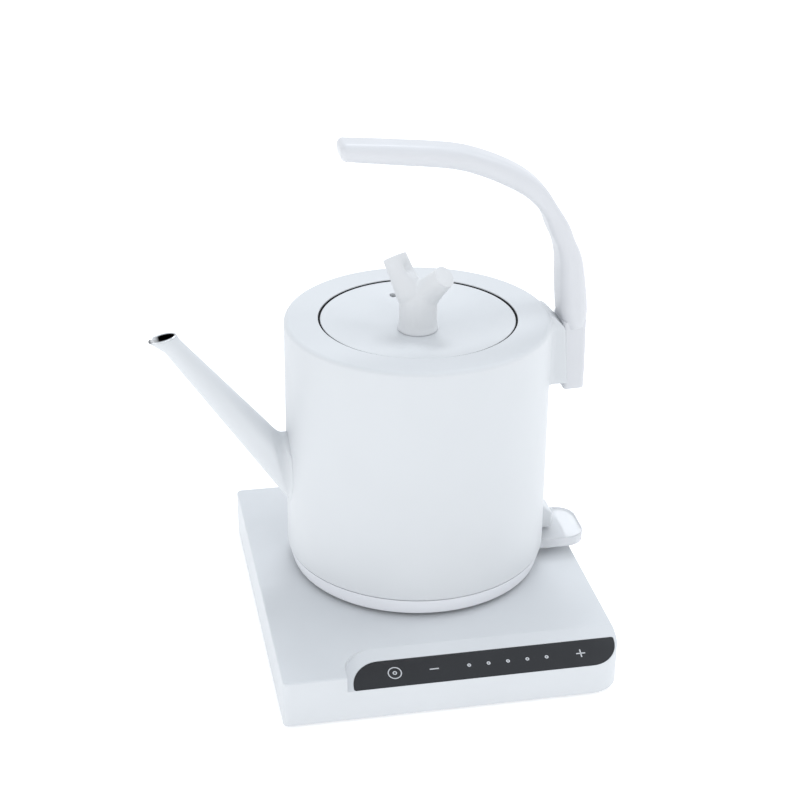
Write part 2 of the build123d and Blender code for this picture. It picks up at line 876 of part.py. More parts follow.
def handle_cap(place, aim, half_thickness, half_width, share, edge):
    """Softened end that closes the handle beyond its first or last cross-section."""
    steps = [(0, 0), (end_round_share, 1 - end_round_share), (1, 1)]
    return loft([handle_station(place, aim, half_thickness - edge * shrink, half_width - edge * shrink, share,
                                edge * ahead) for ahead, shrink in steps], ruled=True)


def make_handle_blank():
    """Branch-like handle, thickest where it comes down beside the shell."""
    end, grip = (handle_end_x, handle_end_z), (handle_grip_x, handle_grip_z)
    crook, bend = (handle_crook_x, handle_crook_z), (handle_bend_x, handle_bend_z)
    pinch, leg = (handle_pinch_x, handle_pinch_z), (handle_leg_x, handle_leg_z)
    root, foot = (handle_root_x, handle_root_z), (handle_foot_x, handle_foot_z)
    middle_share = mean(grip_round_share, leg_round_share)
    down = (handle_foot_x, 0)
    blank = loft([
        handle_station(end, (handle_grip_x, handle_end_z + handle_end_tilt), end_half_thickness, grip_half_width,
                       grip_round_share),
        handle_station(middle(end, grip), grip, mean(end_half_thickness, grip_half_thickness), grip_half_width,
                       grip_round_share),
        handle_station(grip, middle(crook, middle(grip, bend)), grip_half_thickness, grip_half_width,
                       grip_round_share),
        handle_station(crook, bend, crook_half_thickness, crook_half_width, grip_round_share),
        handle_station(bend, pinch, bend_half_thickness, bend_half_width, middle_share),
        handle_station(pinch, leg, pinch_half_thickness, pinch_half_width, middle_share),
        handle_station(leg, root, leg_half_thickness, leg_half_width, leg_round_share),
        handle_station(middle(leg, root), root, mean(leg_half_thickness, root_half_thickness),
                       mean(leg_half_width, root_half_width), leg_round_share),
        handle_station(root, foot, root_half_thickness, root_half_width, leg_round_share),
        handle_station(middle(root, foot), foot, mean(root_half_thickness, foot_half_thickness),
                       mean(root_half_width, foot_half_width), leg_round_share),
        handle_station(foot, down, foot_half_thickness, foot_half_width, leg_round_share),
    ])
    out = (handle_end_x * 2 - handle_grip_x, handle_end_z - handle_end_tilt)
    blank += handle_cap(end, out, end_half_thickness, grip_half_width, grip_round_share, handle_end_edge)
    return blank + handle_cap(foot, down, foot_half_thickness, foot_half_width, leg_round_share, handle_foot_edge)


def mean(first, second):
    """Halfway between two sizes."""
    return (first + second) / 2


def middle(first, second):
    """The place halfway between two places."""
    return mean(first[0], second[0]), mean(first[1], second[1])


def make_handle():
    """The handle with holes for its screws."""
    handle = make_handle_blank()
    for z in (bracket_screw_low, bracket_screw_high):
        handle -= rod_x_bar(screw_radius + screw_play, 0, handle_foot_x, 0, z)
    return handle


def make_handle_bracket():
    """Block that fills the space between the shell and the handle's leg."""
    inner = shell_radius / 2
    side = Polyline((inner, 0, bracket_low), (handle_foot_x - foot_half_thickness + bracket_bite, 0, bracket_low),
                    (handle_root_x - root_half_thickness + bracket_bite, 0, bracket_high),
                    (inner, 0, bracket_high), close=True)
    block = extrude(make_face(side), bracket_half_width, both=True)
    block = fillet(block.edges().filter_by(Axis.X), bracket_edge)
    block -= rod_z(shell_radius, 0, shell_top * 2)
    block -= make_handle_blank()
    block = block.solids().sort_by(Axis.X)[0]
    for z in (bracket_screw_low, bracket_screw_high):
        block -= rod_x_bar(screw_radius + screw_play, 0, handle_foot_x, 0, z)
    return block


def make_handle_screws():
    """Two screws from inside the shell into the handle."""
    seat = sqrt((shell_radius - shell_wall) ** 2 - screw_head_radius ** 2) - screw_play
    screws = []
    for z in (bracket_screw_low, bracket_screw_high):
        head = rod_x_bar(screw_head_radius, seat - screw_radius / 2, seat, 0, z)
        screws.append(head + rod_x_bar(screw_radius, seat, handle_foot_x - screw_radius, 0, z))
    return Compound(children=screws)


def make_switch_hood():
    """Small sloped hood on the shell above the switch."""
    face, inner = shell_radius + hood_reach, shell_radius / 2
    side = Polyline((inner, 0, hood_low), (face, 0, hood_low), (face, 0, hood_face_high),
                    (shell_radius, 0, hood_high), (inner, 0, hood_high), close=True)
    hood = extrude(make_face(side), hood_half_width, both=True)
    outer = [edge for edge in hood.edges() if edge.bounding_box().min.X > shell_radius - hood_edge]
    hood = fillet(outer, hood_edge)
    return hood - rod_z(shell_radius, 0, shell_top)


# Lid


def dish_z(radius, drop):
    """Height of the lid's dished face at a radius, lowered by a drop."""
    sphere = (lid_radius ** 2 + lid_dish ** 2) / (2 * lid_dish)
    return shell_top - lid_dish - drop + sphere - sqrt(sphere ** 2 - radius ** 2)


def dish_arc(radius, drop):
    """The dish's arc from the axis out to a radius."""
    points = [(share * radius, dish_z(share * radius, drop)) for share in (0, 1 / 2, 1)]
    return ThreePointArc(*points)


def make_lid_blank():
    """Dished disc with a flat rim below."""
    top = dish_arc(lid_radius, 0)
    under = dish_arc(lid_rim_inner, lid_thickness)
    side = Polyline((lid_radius, shell_top), (lid_radius, lid_rim_low), (lid_rim_inner, lid_rim_low),
                    (lid_rim_inner, dish_z(lid_rim_inner, lid_thickness)))
    middle = Line((0, dish_z(0, lid_thickness)), (0, dish_z(0, 0)))
    disc = revolve(Plane.XZ * make_face([top, side, under, middle]), Axis.Z)
    return disc


def make_lid_top():
    """The white lid with its vent and the knob screw's hole."""
    disc = make_lid_blank()
    rim = [edge for edge in disc.edges() if edge.bounding_box().min.Z > shell_top - lid_edge]
    disc = fillet(rim, lid_edge)
    out = vent_out_share * lid_radius
    disc -= rod_z(vent_radius, 0, shell_top * 2, out * cos(radians(vent_angle)), out * sin(radians(vent_angle)))
    return disc - rod_z(knob_screw_radius + screw_play, 0, shell_top * 2)


def make_lid_cup():
    """Steel cup under the lid, open to steam through a ring of holes."""
    high = dish_z(cup_radius, lid_thickness)
    outside = rod_z(cup_radius, cup_low, high)
    outside = fillet(outside.edges().sort_by(Axis.Z)[0], cup_round)
    inside = rod_z(cup_radius - cup_wall, cup_low + cup_wall, high * 2)
    inside = fillet(inside.edges().sort_by(Axis.Z)[0], cup_round - cup_wall)
    cup = outside - inside - make_lid_blank()
    for step in range(cup_vent_count):
        angle = 2 * pi * step / cup_vent_count
        cup -= rod_z(cup_vent_radius, 0, shell_top, cup_vent_ring * cos(angle), cup_vent_ring * sin(angle))
    return cup


def make_lid_seal():
    """Silicone ring with a lip, round the cup."""
    ring = tube(seal_outer - seal_lip, cup_radius, seal_low, seal_high)
    return ring + tube(seal_outer, cup_radius, seal_low + seal_lip, seal_low + seal_lip * 2)


def twig(radius, length, lean, turn):
    """One branch of the knob from the fork outward, with a softened end."""
    branch = Cylinder(radius, length, align=(Align.CENTER, Align.CENTER, Align.MIN))
    branch = fillet(branch.edges().sort_by(Axis.Z)[-1], twig_edge)
    return Pos(0, 0, knob_fork_z) * Rot(0, 0, turn) * Rot(0, lean, 0) * branch


def make_lid_knob():
    """Forked twig that stands in the lid's dish."""
    low = dish_z(0, lid_thickness)
    dome_z = knob_fork_z - knob_dome_drop
    knob = rod_z(knob_radius, low, dome_z)
    foot_low = dish_z(knob_foot_radius, 0)
    foot = Pos(0, 0, low) * Cone(knob_foot_radius, knob_radius, foot_low - low + knob_foot_height,
                                 align=(Align.CENTER, Align.CENTER, Align.MIN))
    knob += foot
    knob += Pos(0, 0, dome_z) * Sphere(knob_radius)
    knob += twig(twig_left_radius, twig_left_length, twig_left_lean_angle, twig_left_turn_angle)
    knob += twig(twig_right_radius, twig_right_length, twig_right_lean_angle, twig_right_turn_angle)
    knob -= make_lid_blank() + rod_z(knob_screw_radius + screw_play, 0, screw_top())
    knob -= rod_z(knob_foot_radius * 2, 0, dish_z(0, 0))
    return knob


def screw_top():
    """Height the knob's screw reaches."""
    return dish_z(0, lid_thickness) + knob_screw_length


def make_knob_screw():
    """Screw from under the lid into the knob."""
    seat = dish_z(0, lid_thickness)
    head = rod_z(knob_screw_head, seat - knob_screw_head_height, seat)
    return head + rod_z(knob_screw_radius, seat, screw_top())


# Switch


def make_switch_lever():
    """Clear paddle with a hub, a hinge pin and an inner nose."""
    plan = make_face(Polyline((pivot_x, -lever_half_width), (lever_tip, -lever_half_width),
                              (lever_tip, lever_half_width), (pivot_x, lever_half_width), close=True))
    plan = fillet(plan.vertices().group_by(Axis.X)[-1], lever_corner)
    paddle = Pos(0, 0, lever_low) * extrude(plan, lever_high - lever_low)
    rims = [edge for edge in paddle.edges() if flat_rim(edge)]
    paddle = fillet(rims, lever_edge)
    paddle += rod_y(hub_radius, -lever_half_width, lever_half_width, pivot_x, pivot_z)
    paddle += rod_y(pin_radius, -pin_reach, pin_reach, pivot_x, pivot_z)
    paddle += bar(pivot_x - nose_reach, pivot_x, -nose_half_width, nose_half_width, lever_low + lever_edge,
                  rod_low - rest_gap)
    return paddle


def flat_rim(edge):
    """True for a level edge of the paddle outside its hub."""
    box = edge.bounding_box()
    return box.size.Z < lever_edge and box.max.X > pivot_x + lever_edge


def make_contact_rod():
    """Rod the nose lifts, with a small head above the control block."""
    rod = rod_z(rod_radius, rod_low, rod_high, rod_x, 0)
    return rod + rod_z(rod_radius + slot_play, control_high + slot_play, rod_high, rod_x, 0)


nodes = {
    "base_housing": make_base_housing,
    "base_panel": make_base_panel,
    "base_floor": make_base_floor,
    "base_feet": make_base_feet,
    "base_screws": make_base_screws,
    "base_tower": make_base_tower,
    "tower_contacts": make_tower_contacts,
    "cord_gland": make_cord_gland,
    "inlet_block": make_inlet_block,
    "panel_board": make_panel_board,
    "board_lamps": make_board_lamps,
    "socket_insert": make_socket_insert,
    "socket_contacts": make_socket_contacts,
    "body_shell": make_body_shell,
    "spout": make_spout,
    "spout_liner": make_spout_liner,
    "strainer": make_strainer,
    "inner_pot": make_inner_pot,
    "pot_gasket": make_pot_gasket,
    "heater_plate": make_heater_plate,
    "heating_element": make_heating_element,
    "skirt": make_skirt,
    "kettle_floor": make_kettle_floor,
    "floor_screws": make_floor_screws,
    "control_housing": make_control_housing,
    "bimetal_disc": make_bimetal_disc,
    "steam_tube": make_steam_tube,
    "handle_bracket": make_handle_bracket,
    "handle": make_handle,
    "handle_screws": make_handle_screws,
    "switch_hood": make_switch_hood,
    "lid_top": make_lid_top,
    "lid_cup": make_lid_cup,
    "lid_seal": make_lid_seal,
    "lid_knob": make_lid_knob,
    "knob_screw": make_knob_screw,
    "switch_lever": make_switch_lever,
    "contact_rod": make_contact_rod,
}


def main():
    """Builds every node, centres the whole on its footprint and writes one file per node."""
    shapes = {name: make() for name, make in nodes.items()}
    boxes = [shape.bounding_box() for shape in shapes.values()]
    left, right = min(box.min.X for box in boxes), max(box.max.X for box in boxes)
    front, back = min(box.min.Y for box in boxes), max(box.max.Y for box in boxes)
    low = min(box.min.Z for box in boxes)
    place = Pos(-(left + right) / 2, -(front + back) / 2, -low)
    os.makedirs("parts", exist_ok=True)
    for name, shape in shapes.items():
        export_step(place * shape, f"parts/{name}.step")
        print(f"{name}: {len(shape.solids())} solids, {shape.volume:.1f} mm3")
    print("moved by", place.position)


if __name__ == "__main__":
    main()
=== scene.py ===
"""An electric kettle on its power base, dressed for a soft studio picture."""

from __future__ import annotations

import logging
import math
from dataclasses import dataclass, field
from enum import Enum

import bmesh
import bpy
from mathutils import Matrix, Vector


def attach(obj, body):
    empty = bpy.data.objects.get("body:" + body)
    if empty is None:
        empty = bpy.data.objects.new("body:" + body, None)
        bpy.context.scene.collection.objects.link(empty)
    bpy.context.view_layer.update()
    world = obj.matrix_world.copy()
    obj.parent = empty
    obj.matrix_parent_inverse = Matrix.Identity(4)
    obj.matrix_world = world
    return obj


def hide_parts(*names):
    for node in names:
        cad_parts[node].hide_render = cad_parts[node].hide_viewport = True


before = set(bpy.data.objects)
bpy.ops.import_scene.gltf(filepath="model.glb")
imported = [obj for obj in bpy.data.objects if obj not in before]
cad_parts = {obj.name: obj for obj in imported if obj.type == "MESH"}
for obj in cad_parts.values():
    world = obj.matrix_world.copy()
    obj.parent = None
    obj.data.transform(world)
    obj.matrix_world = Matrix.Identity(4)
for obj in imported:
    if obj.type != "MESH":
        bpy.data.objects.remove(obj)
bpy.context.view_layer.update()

log = logging.getLogger("kettle")

Piece = bpy.types.Object
Socket = bpy.types.NodeSocket
Triple = tuple[float, float, float]
Pair = tuple[float, float]
Outline = list[Pair]
Faces = list[tuple[int, ...]]

MM = 0.001
AXIS = Vector((0.0203719, 0.01095, 0.0239))
SIDE = Vector((0.0, 1.0, 0.0))
UPRIGHT = Vector((0.0, 0.0, 1.0))
EVEN = (1.0, 1.0, 1.0)


class Body(Enum):
    """The moving groups that new pieces ride on."""

    BASE = "base"
    KETTLE = "kettle"
    LID = "lid"


class Joining(Enum):
    """How one form changes another."""

    CUT = "DIFFERENCE"
    GROW = "UNION"


# Mesh building. Forms are laid out in millimetres from the kettle's axis, where it meets the base's top face.


def spot(x: float, y: float, z: float) -> Vector:
    """A place in metres, from millimetres towards the handle, towards the back and up."""
    return AXIS + Vector((x, y, z)) * MM


def angles(steps: int) -> list[float]:
    """Even turns round a circle, in radians."""
    return [2 * math.pi * step / steps for step in range(steps)]


def facing(way: Vector, towards: Vector) -> Vector:
    """A direction, turned round where it points away from another."""
    return -way if way.dot(towards) < 0 else way


def make_piece(name: str, points: list[Vector], faces: Faces, crease: float = 35.0) -> Piece:
    """Makes a smooth-shaded object whose edges stay sharp above an angle.

    Args:
        name: The piece's name.
        points: Its corners in metres.
        faces: Corner numbers of each face.
        crease: Degrees between two faces above which their edge is sharp.

    Returns:
        The new object, linked to the scene.
    """
    mesh = bpy.data.meshes.new(name)
    mesh.from_pydata([tuple(p) for p in points], [], faces)
    piece = bpy.data.objects.new(name, mesh)
    bpy.context.scene.collection.objects.link(piece)
    soften(piece, crease)
    return piece


def soften(piece: Piece, crease: float = 35.0) -> None:
    """Shades a piece smooth and marks its sharp edges.

    Args:
        piece: The object to shade.
        crease: Degrees above which an edge stays sharp.
    """
    work = bmesh.new()
    work.from_mesh(piece.data)
    bmesh.ops.remove_doubles(work, verts=work.verts, dist=1e-6)
    bmesh.ops.recalc_face_normals(work, faces=work.faces)
    limit = math.radians(crease)
    for face in work.faces:
        face.smooth = True
    for edge in work.edges:
        edge.smooth = len(edge.link_faces) != 2 or edge.calc_face_angle(0.0) < limit
    work.to_mesh(piece.data)
    work.free()


def loft(name: str, rings: list[list[Vector]], capped: bool = True, crease: float = 35.0) -> Piece:
    """Joins closed rings of equal length into a skin.

    Args:
        name: The piece's name.
        rings: The rings in order, each a list of places.
        capped: Closes the first and the last ring with a face.
        crease: Degrees above which an edge stays sharp.

    Returns:
        The skinned object.
    """
    count = len(rings[0])
    last = (len(rings) - 1) * count
    faces: Faces = []
    for low in range(0, last, count):
        for col in range(count):
            beside = (col + 1) % count
            faces.append((low + col, low + beside, low + count + beside, low + count + col))
    if capped:
        faces += [tuple(reversed(range(count))), tuple(range(last, last + count))]
    return make_piece(name, [p for ring in rings for p in ring], faces, crease)


def turned(name: str, profile: Outline, steps: int, x: float = 0.0, y: float = 0.0) -> Piece:
    """Turns a closed outline about an upright axis.

    Args:
        name: The piece's name.
        profile: Radius and height of each corner, as a closed outline.
        steps: Faces round the axis.
        x: Where the axis stands, towards the handle.
        y: Where the axis stands, towards the back.

    Returns:
        The turned object.
    """
    points = [spot(x + r * math.cos(a), y + r * math.sin(a), z) for a in angles(steps) for r, z in profile]
    size = len(profile)
    faces: Faces = []
    for step in range(steps):
        here, there = step * size, (step + 1) % steps * size
        for corner in range(size):
            after = (corner + 1) % size
            faces.append((here + corner, there + corner, there + after, here + after))
    return make_piece(name, points, faces)


def arc(across: float, up: float, radius: float, start: float, end: float, steps: int = 8) -> Outline:
    """Points of a round in an outline, from one angle in degrees to another, as equal chords."""
    turns = [math.radians(start + (end - start) * step / steps) for step in range(steps + 1)]
    return [(across + radius * math.cos(turn), up + radius * math.sin(turn)) for turn in turns]


def rounded_box(half_x: float, half_y: float, radius: float) -> Outline:
    """The outline of a box with round corners, counter-clockwise."""
    return [point for x, y, start in ((1, 1, 0), (-1, 1, 90), (-1, -1, 180), (1, -1, 270))
            for point in arc(x * (half_x - radius), y * (half_y - radius), radius, start, start + 90)]


def settle(piece: Piece) -> None:
    """Applies a piece's modifiers to its mesh.

    Args:
        piece: The object with the modifiers.
    """
    bpy.context.view_layer.update()
    seen = piece.evaluated_get(bpy.context.evaluated_depsgraph_get())
    mesh = bpy.data.meshes.new_from_object(seen)
    piece.modifiers.clear()
    piece.data = mesh


def combine(piece: Piece, other: Piece, how: Joining) -> None:
    """Takes one form out of another or grows it on, and removes it.

    Args:
        piece: What is changed.
        other: The form that is taken out or grown on.
        how: Which of the two.
    """
    step = piece.modifiers.new("combine", "BOOLEAN")
    step.operation, step.object, step.solver = how.value, other, "EXACT"
    settle(piece)
    bpy.data.objects.remove(other)


def join_pieces(name: str, pieces: list[Piece], crease: float) -> Piece:
    """Joins several meshes into one object.

    Args:
        name: The new piece's name.
        pieces: The objects that are joined and removed.
        crease: Degrees above which an edge stays sharp.

    Returns:
        The joined object.
    """
    work = bmesh.new()
    for piece in pieces:
        work.from_mesh(piece.data)
    mesh = bpy.data.meshes.new(name)
    work.to_mesh(mesh)
    work.free()
    for piece in pieces:
        bpy.data.objects.remove(piece)
    joined = bpy.data.objects.new(name, mesh)
    bpy.context.scene.collection.objects.link(joined)
    soften(joined, crease)
    return joined


# Finishes


class Sheet:
    """A material's node tree with short calls to add and join nodes."""

    def __init__(self, name: str) -> None:
        """Starts a material with one surface shader.

        Args:
            name: The material's name.
        """
        self.material = bpy.data.materials.new(name)
        self.material.use_nodes = True
        self.tree = self.material.node_tree
        self.surface = self.tree.nodes["Principled BSDF"]

    def add(self, kind: str, **values: object) -> bpy.types.Node:
        """Adds a node.

        Args:
            kind: The node's type name.
            values: Numbers for its sockets, by socket name with _ for spaces.

        Returns:
            The node.
        """
        node = self.tree.nodes.new(kind)
        for key, value in values.items():
            node.inputs[key.replace("_", " ")].default_value = value
        return node

    def join(self, source: Socket, target: Socket) -> None:
        """Links two sockets."""
        self.tree.links.new(source, target)

    def paint(self, socket: str, source: Socket) -> None:
        """Links a pattern to a socket of the surface."""
        self.join(source, self.surface.inputs[socket])

    def set(self, **values: object) -> None:
        """Sets the surface's own sockets, by socket name with _ for spaces."""
        for key, value in values.items():
            self.surface.inputs[key.replace("_", " ")].default_value = value

    def where(self, stretch: Triple = EVEN) -> Socket:
        """Object coordinates, stretched.

        Args:
            stretch: How much finer a pattern gets along each axis.

        Returns:
            The socket that holds the coordinates.
        """
        place = self.add("ShaderNodeTexCoord")
        mapping = self.add("ShaderNodeMapping", Scale=stretch)
        self.join(place.outputs["Object"], mapping.inputs["Vector"])
        return mapping.outputs["Vector"]

    def noise(self, scale: float, detail: float, stretch: Triple = EVEN) -> Socket:
        """A cloudy pattern in the object's own coordinates.

        Args:
            scale: Clouds per metre.
            detail: How many finer layers it has.
            stretch: How much finer it gets along each axis.

        Returns:
            The socket with the pattern's value.
        """
        node = self.add("ShaderNodeTexNoise", Scale=scale, Detail=detail)
        self.join(self.where(stretch), node.inputs["Vector"])
        return node.outputs["Fac"]

    def spread(self, source: Socket, low: float = 0.0, high: float = 1.0) -> Socket:
        """Brings a pattern between two numbers.

        Args:
            source: The pattern.
            low: Its value where the pattern is low.
            high: Its value where the pattern is high.

        Returns:
            The socket with the new value.
        """
        node = self.add("ShaderNodeMapRange", From_Min=0.3, From_Max=0.7, To_Min=low, To_Max=high)
        self.join(source, node.inputs["Value"])
        return node.outputs["Result"]

    def blend(self, share: Socket, first: Triple, second: Triple) -> Socket:
        """Mixes two colours by a pattern.

        Args:
            share: How much of the second colour shows.
            first: The first colour.
            second: The second colour.

        Returns:
            The socket with the colour.
        """
        node = self.add("ShaderNodeMix")
        node.data_type = "RGBA"
        for socket, value in zip((s for s in node.inputs if s.type == "RGBA"), (first, second)):
            socket.default_value = (*value, 1.0)
        self.join(share, node.inputs["Factor"])
        return next(s for s in node.outputs if s.type == "RGBA")

    def raise_by(self, pattern: Socket, depth: float, strength: float) -> None:
        """Turns a pattern into small relief on the surface.

        Args:
            pattern: The relief's height, from 0 to 1.
            depth: Its full height in metres.
            strength: How much of it shows.
        """
        node = self.add("ShaderNodeBump", Strength=strength, Distance=depth)
        self.join(pattern, node.inputs["Height"])
        self.paint("Normal", node.outputs["Normal"])


def shade(colour: Triple, factor: float) -> Triple:
    """A colour made darker or lighter."""
    return tuple(min(1.0, c * factor) for c in colour)


@dataclass(frozen=True)
class Finish:
    """What a piece is made of."""

    name: str
    colour: Triple

    def draw(self, sheet: Sheet) -> None:
        """Draws the finish on a fresh material."""
        raise NotImplementedError

    def build(self) -> bpy.types.Material:
        """The finish as a new material.

        Returns:
            The material.
        """
        sheet = Sheet(self.name)
        self.draw(sheet)
        return sheet.material


@dataclass(frozen=True)
class Moulded(Finish):
    """Painted or moulded plastic with faint clouds, uneven gloss and fine grain."""

    roughness: float
    uneven: float
    clouds: float
    cloud_scale: float
    grain_scale: float
    grain_depth: float
    ior: float = 1.46
    glow: float = 0.0

    def draw(self, sheet: Sheet) -> None:
        """Draws clouds, gloss and grain.

        Args:
            sheet: The material's nodes.
        """
        tint = sheet.spread(sheet.noise(self.cloud_scale, detail=3.0))
        sheet.paint("Base Color", sheet.blend(tint, shade(self.colour, 1 - self.clouds),
                                              shade(self.colour, 1 + self.clouds)))
        gloss = sheet.noise(self.cloud_scale * 6, detail=4.0)
        sheet.paint("Roughness", sheet.spread(gloss, self.roughness - self.uneven, self.roughness + self.uneven))
        sheet.raise_by(sheet.noise(self.grain_scale, detail=2.0), self.grain_depth, strength=0.35)
        sheet.set(IOR=self.ior, Emission_Color=(1.0, 1.0, 1.0, 1.0), Emission_Strength=self.glow)


@dataclass(frozen=True)
class Metal(Finish):
    """Brushed or cast metal, its brushing drawn out along one axis."""

    roughness: float
    brush: Triple = (1.0, 1.0, 14.0)
    brush_depth: float = 0.000006
    brush_scale: float = 420.0

    def draw(self, sheet: Sheet) -> None:
        """Draws the brushed lines.

        Args:
            sheet: The material's nodes.
        """
        lines = sheet.noise(self.brush_scale, detail=5.0, stretch=self.brush)
        sheet.paint("Base Color", sheet.blend(sheet.spread(lines), shade(self.colour, 0.9), shade(self.colour, 1.06)))
        sheet.paint("Roughness", sheet.spread(lines, self.roughness * 0.7, self.roughness * 1.3))
        sheet.raise_by(lines, self.brush_depth, strength=0.5)
        sheet.set(Metallic=1.0)


@dataclass(frozen=True)
class ShadePaintedSteel(Finish):
    """Polished steel with painted shade and painted reflection: its tone goes from its colour to a last one along x,
    from a start over a length in metres.
    """

    last: Triple
    start: float
    length: float
    roughness: float = 0.12
    stain_scale: float = 500.0
    stain_depth: float = 0.000004

    def draw(self, sheet: Sheet) -> None:
        """Draws the painted shade and reflection along x, and faint stains.

        Args:
            sheet: The material's nodes.
        """
        # The tone change along x is painted light and shade, not the steel's own colour.
        parts = sheet.add("ShaderNodeSeparateXYZ")
        sheet.join(sheet.where(), parts.inputs["Vector"])
        share = sheet.add("ShaderNodeMapRange", From_Min=self.start, From_Max=self.start + self.length)
        sheet.join(parts.outputs["X"], share.inputs["Value"])
        sheet.paint("Base Color", sheet.blend(share.outputs["Result"], self.colour, self.last))
        stains = sheet.noise(self.stain_scale, detail=4.0)
        sheet.paint("Roughness", sheet.spread(stains, self.roughness * 0.6, self.roughness * 1.5))
        sheet.raise_by(stains, self.stain_depth, strength=0.4)
        sheet.set(Metallic=1.0)


@dataclass(frozen=True)
class Clear(Finish):
    """Clear or tinted see-through plastic."""

    roughness: float
    weight: float = 1.0
    ior: float = 1.49
    cloud_scale: float = 160.0
    wave_scale: float = 90.0
    wave_depth: float = 0.00002

    def draw(self, sheet: Sheet) -> None:
        """Draws faint clouds and an uneven gloss.

        Args:
            sheet: The material's nodes.
        """
        clouds = sheet.noise(self.cloud_scale, detail=2.0)
        sheet.paint("Base Color", sheet.blend(clouds, shade(self.colour, 0.98), self.colour))
        sheet.paint("Roughness", sheet.spread(clouds, self.roughness * 0.5, self.roughness * 1.5))
        sheet.raise_by(sheet.noise(self.wave_scale, detail=1.0), self.wave_depth, strength=0.2)
        sheet.set(IOR=self.ior, Transmission_Weight=self.weight)


class Finishes:
    """All the finishes, each built once."""

    shell = Moulded("white_lacquer", (0.672, 0.687, 0.702), 0.42, 0.03, 0.008, 30.0, 1400.0, 0.000008, ior=1.36)
    body = Moulded("white_moulding", (0.672, 0.688, 0.705), 0.46, 0.04, 0.01, 40.0, 2400.0, 0.000012, ior=1.38)
    # Painted light: the skirt's white is much lighter than the shell's, to stand in for light it lacks low down by
    # the base.
    skirt = Moulded("white_skirt_painted_light", (0.820, 0.825, 0.850), 0.38, 0.03, 0.008, 34.0, 1600.0, 0.00001)
    handle = Moulded("white_grip", (0.67, 0.675, 0.695), 0.38, 0.04, 0.012, 60.0, 1800.0, 0.000012)
    # Painted light: the knob's white is lighter than the handle's, to stand in for light its trunk lacks.
    twig = Moulded("white_twig_painted_light", (0.735, 0.742, 0.75), 0.46, 0.04, 0.012, 60.0, 1800.0, 0.000012)
    under = Moulded("white_underside", (0.60, 0.61, 0.62), 0.5, 0.05, 0.02, 60.0, 2400.0, 0.00003)
    panel = Moulded("black_gloss", (0.016, 0.0165, 0.019), 0.12, 0.03, 0.1, 25.0, 700.0, 0.000002, ior=1.45)
    marks = Moulded("pale_print", (0.55, 0.56, 0.58), 0.4, 0.05, 0.03, 90.0, 1600.0, 0.000004)
    black = Moulded("black_moulding", (0.025, 0.025, 0.027), 0.5, 0.06, 0.06, 60.0, 2200.0, 0.00003)
    # Painted shade: a near-black finish for the gasket, whose lip fills the lid's gap where there is only shade.
    seal = Moulded("black_gap_painted_shade", (0.008, 0.008, 0.009), 0.8, 0.06, 0.06, 60.0, 2200.0, 0.00003, ior=1.2)
    rubber = Moulded("grey_rubber", (0.07, 0.07, 0.07), 0.75, 0.06, 0.08, 120.0, 1800.0, 0.00004)
    silicone = Moulded("pale_silicone", (0.55, 0.55, 0.53), 0.6, 0.06, 0.03, 120.0, 1600.0, 0.00002)
    board = Moulded("green_board", (0.02, 0.12, 0.05), 0.4, 0.08, 0.2, 180.0, 900.0, 0.00004)
    lamp = Clear("lamp_resin", (0.85, 0.88, 0.9), 0.2)
    clear = Clear("clear_paddle", (0.92, 0.93, 0.95), 0.05, 0.55)
    steel = Metal("brushed_steel", (0.62, 0.62, 0.61), 0.28)
    aluminium = Metal("cast_aluminium", (0.7, 0.71, 0.71), 0.42, EVEN, 0.00002)
    brass = Metal("contact_brass", (0.78, 0.56, 0.26), 0.22)
    # Painted reflection: the lip's tip is coloured dark for the dark surroundings chrome would mirror, plain bright
    # steel beyond.
    lip = ShadePaintedSteel("lip_painted_dark_reflection", (0.1, 0.1, 0.105), (0.78, 0.79, 0.8), -0.1034, 0.0016, 0.08)
    # Painted shade: the liner is bright steel near the tip and goes near black deeper in the bore.
    bore = ShadePaintedSteel("bore_painted_shade", (0.75, 0.76, 0.77), (0.03, 0.03, 0.032), -0.1008, 0.0022)

    def __init__(self) -> None:
        """Starts with no material built."""
        self.made: dict[str, bpy.types.Material] = {}

    def dress(self, piece: Piece, finish: Finish) -> None:
        """Gives a piece one finish in every material slot.

        Args:
            piece: The object.
            finish: What it is made of.
        """
        if finish.name not in self.made:
            self.made[finish.name] = finish.build()
        material = self.made[finish.name]
        if not piece.data.materials:
            piece.data.materials.append(material)
        for slot in piece.material_slots:
            slot.link = "OBJECT"
            slot.material = material


FINISHES = Finishes()


# Sub-assemblies. Lengths are in millimetres and angles in degrees.


@dataclass
class SubAssembly:
    """A group of pieces that rides on one or more bodies."""

    pieces: list[str] = field(default_factory=list, init=False)

    def keep(self, finish: Finish, *nodes: str) -> None:
        """Shows nodes of the frame in a finish.

        Args:
            finish: What they are made of.
            nodes: The nodes' names.
        """
        for node in nodes:
            FINISHES.dress(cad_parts[node], finish)
            self.pieces.append(node)

    def mount(self, piece: Piece, body: Body, finish: Finish, slot: str, *nodes: str) -> None:
        """Dresses a new piece, sets it on its body and lets it stand for nodes of the frame.

        Args:
            piece: The new object.
            body: What it moves with.
            finish: What it is made of.
            slot: The record's material slot; not used.
            nodes: The nodes it stands for.
        """
        FINISHES.dress(piece, finish)
        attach(piece, body.value)
        if nodes:
            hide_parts(*nodes)
        self.pieces.append(piece.name)

    def report(self) -> None:
        """Logs each piece of the group."""
        for name in self.pieces:
            log.info("%s: %s", type(self).__name__, name)


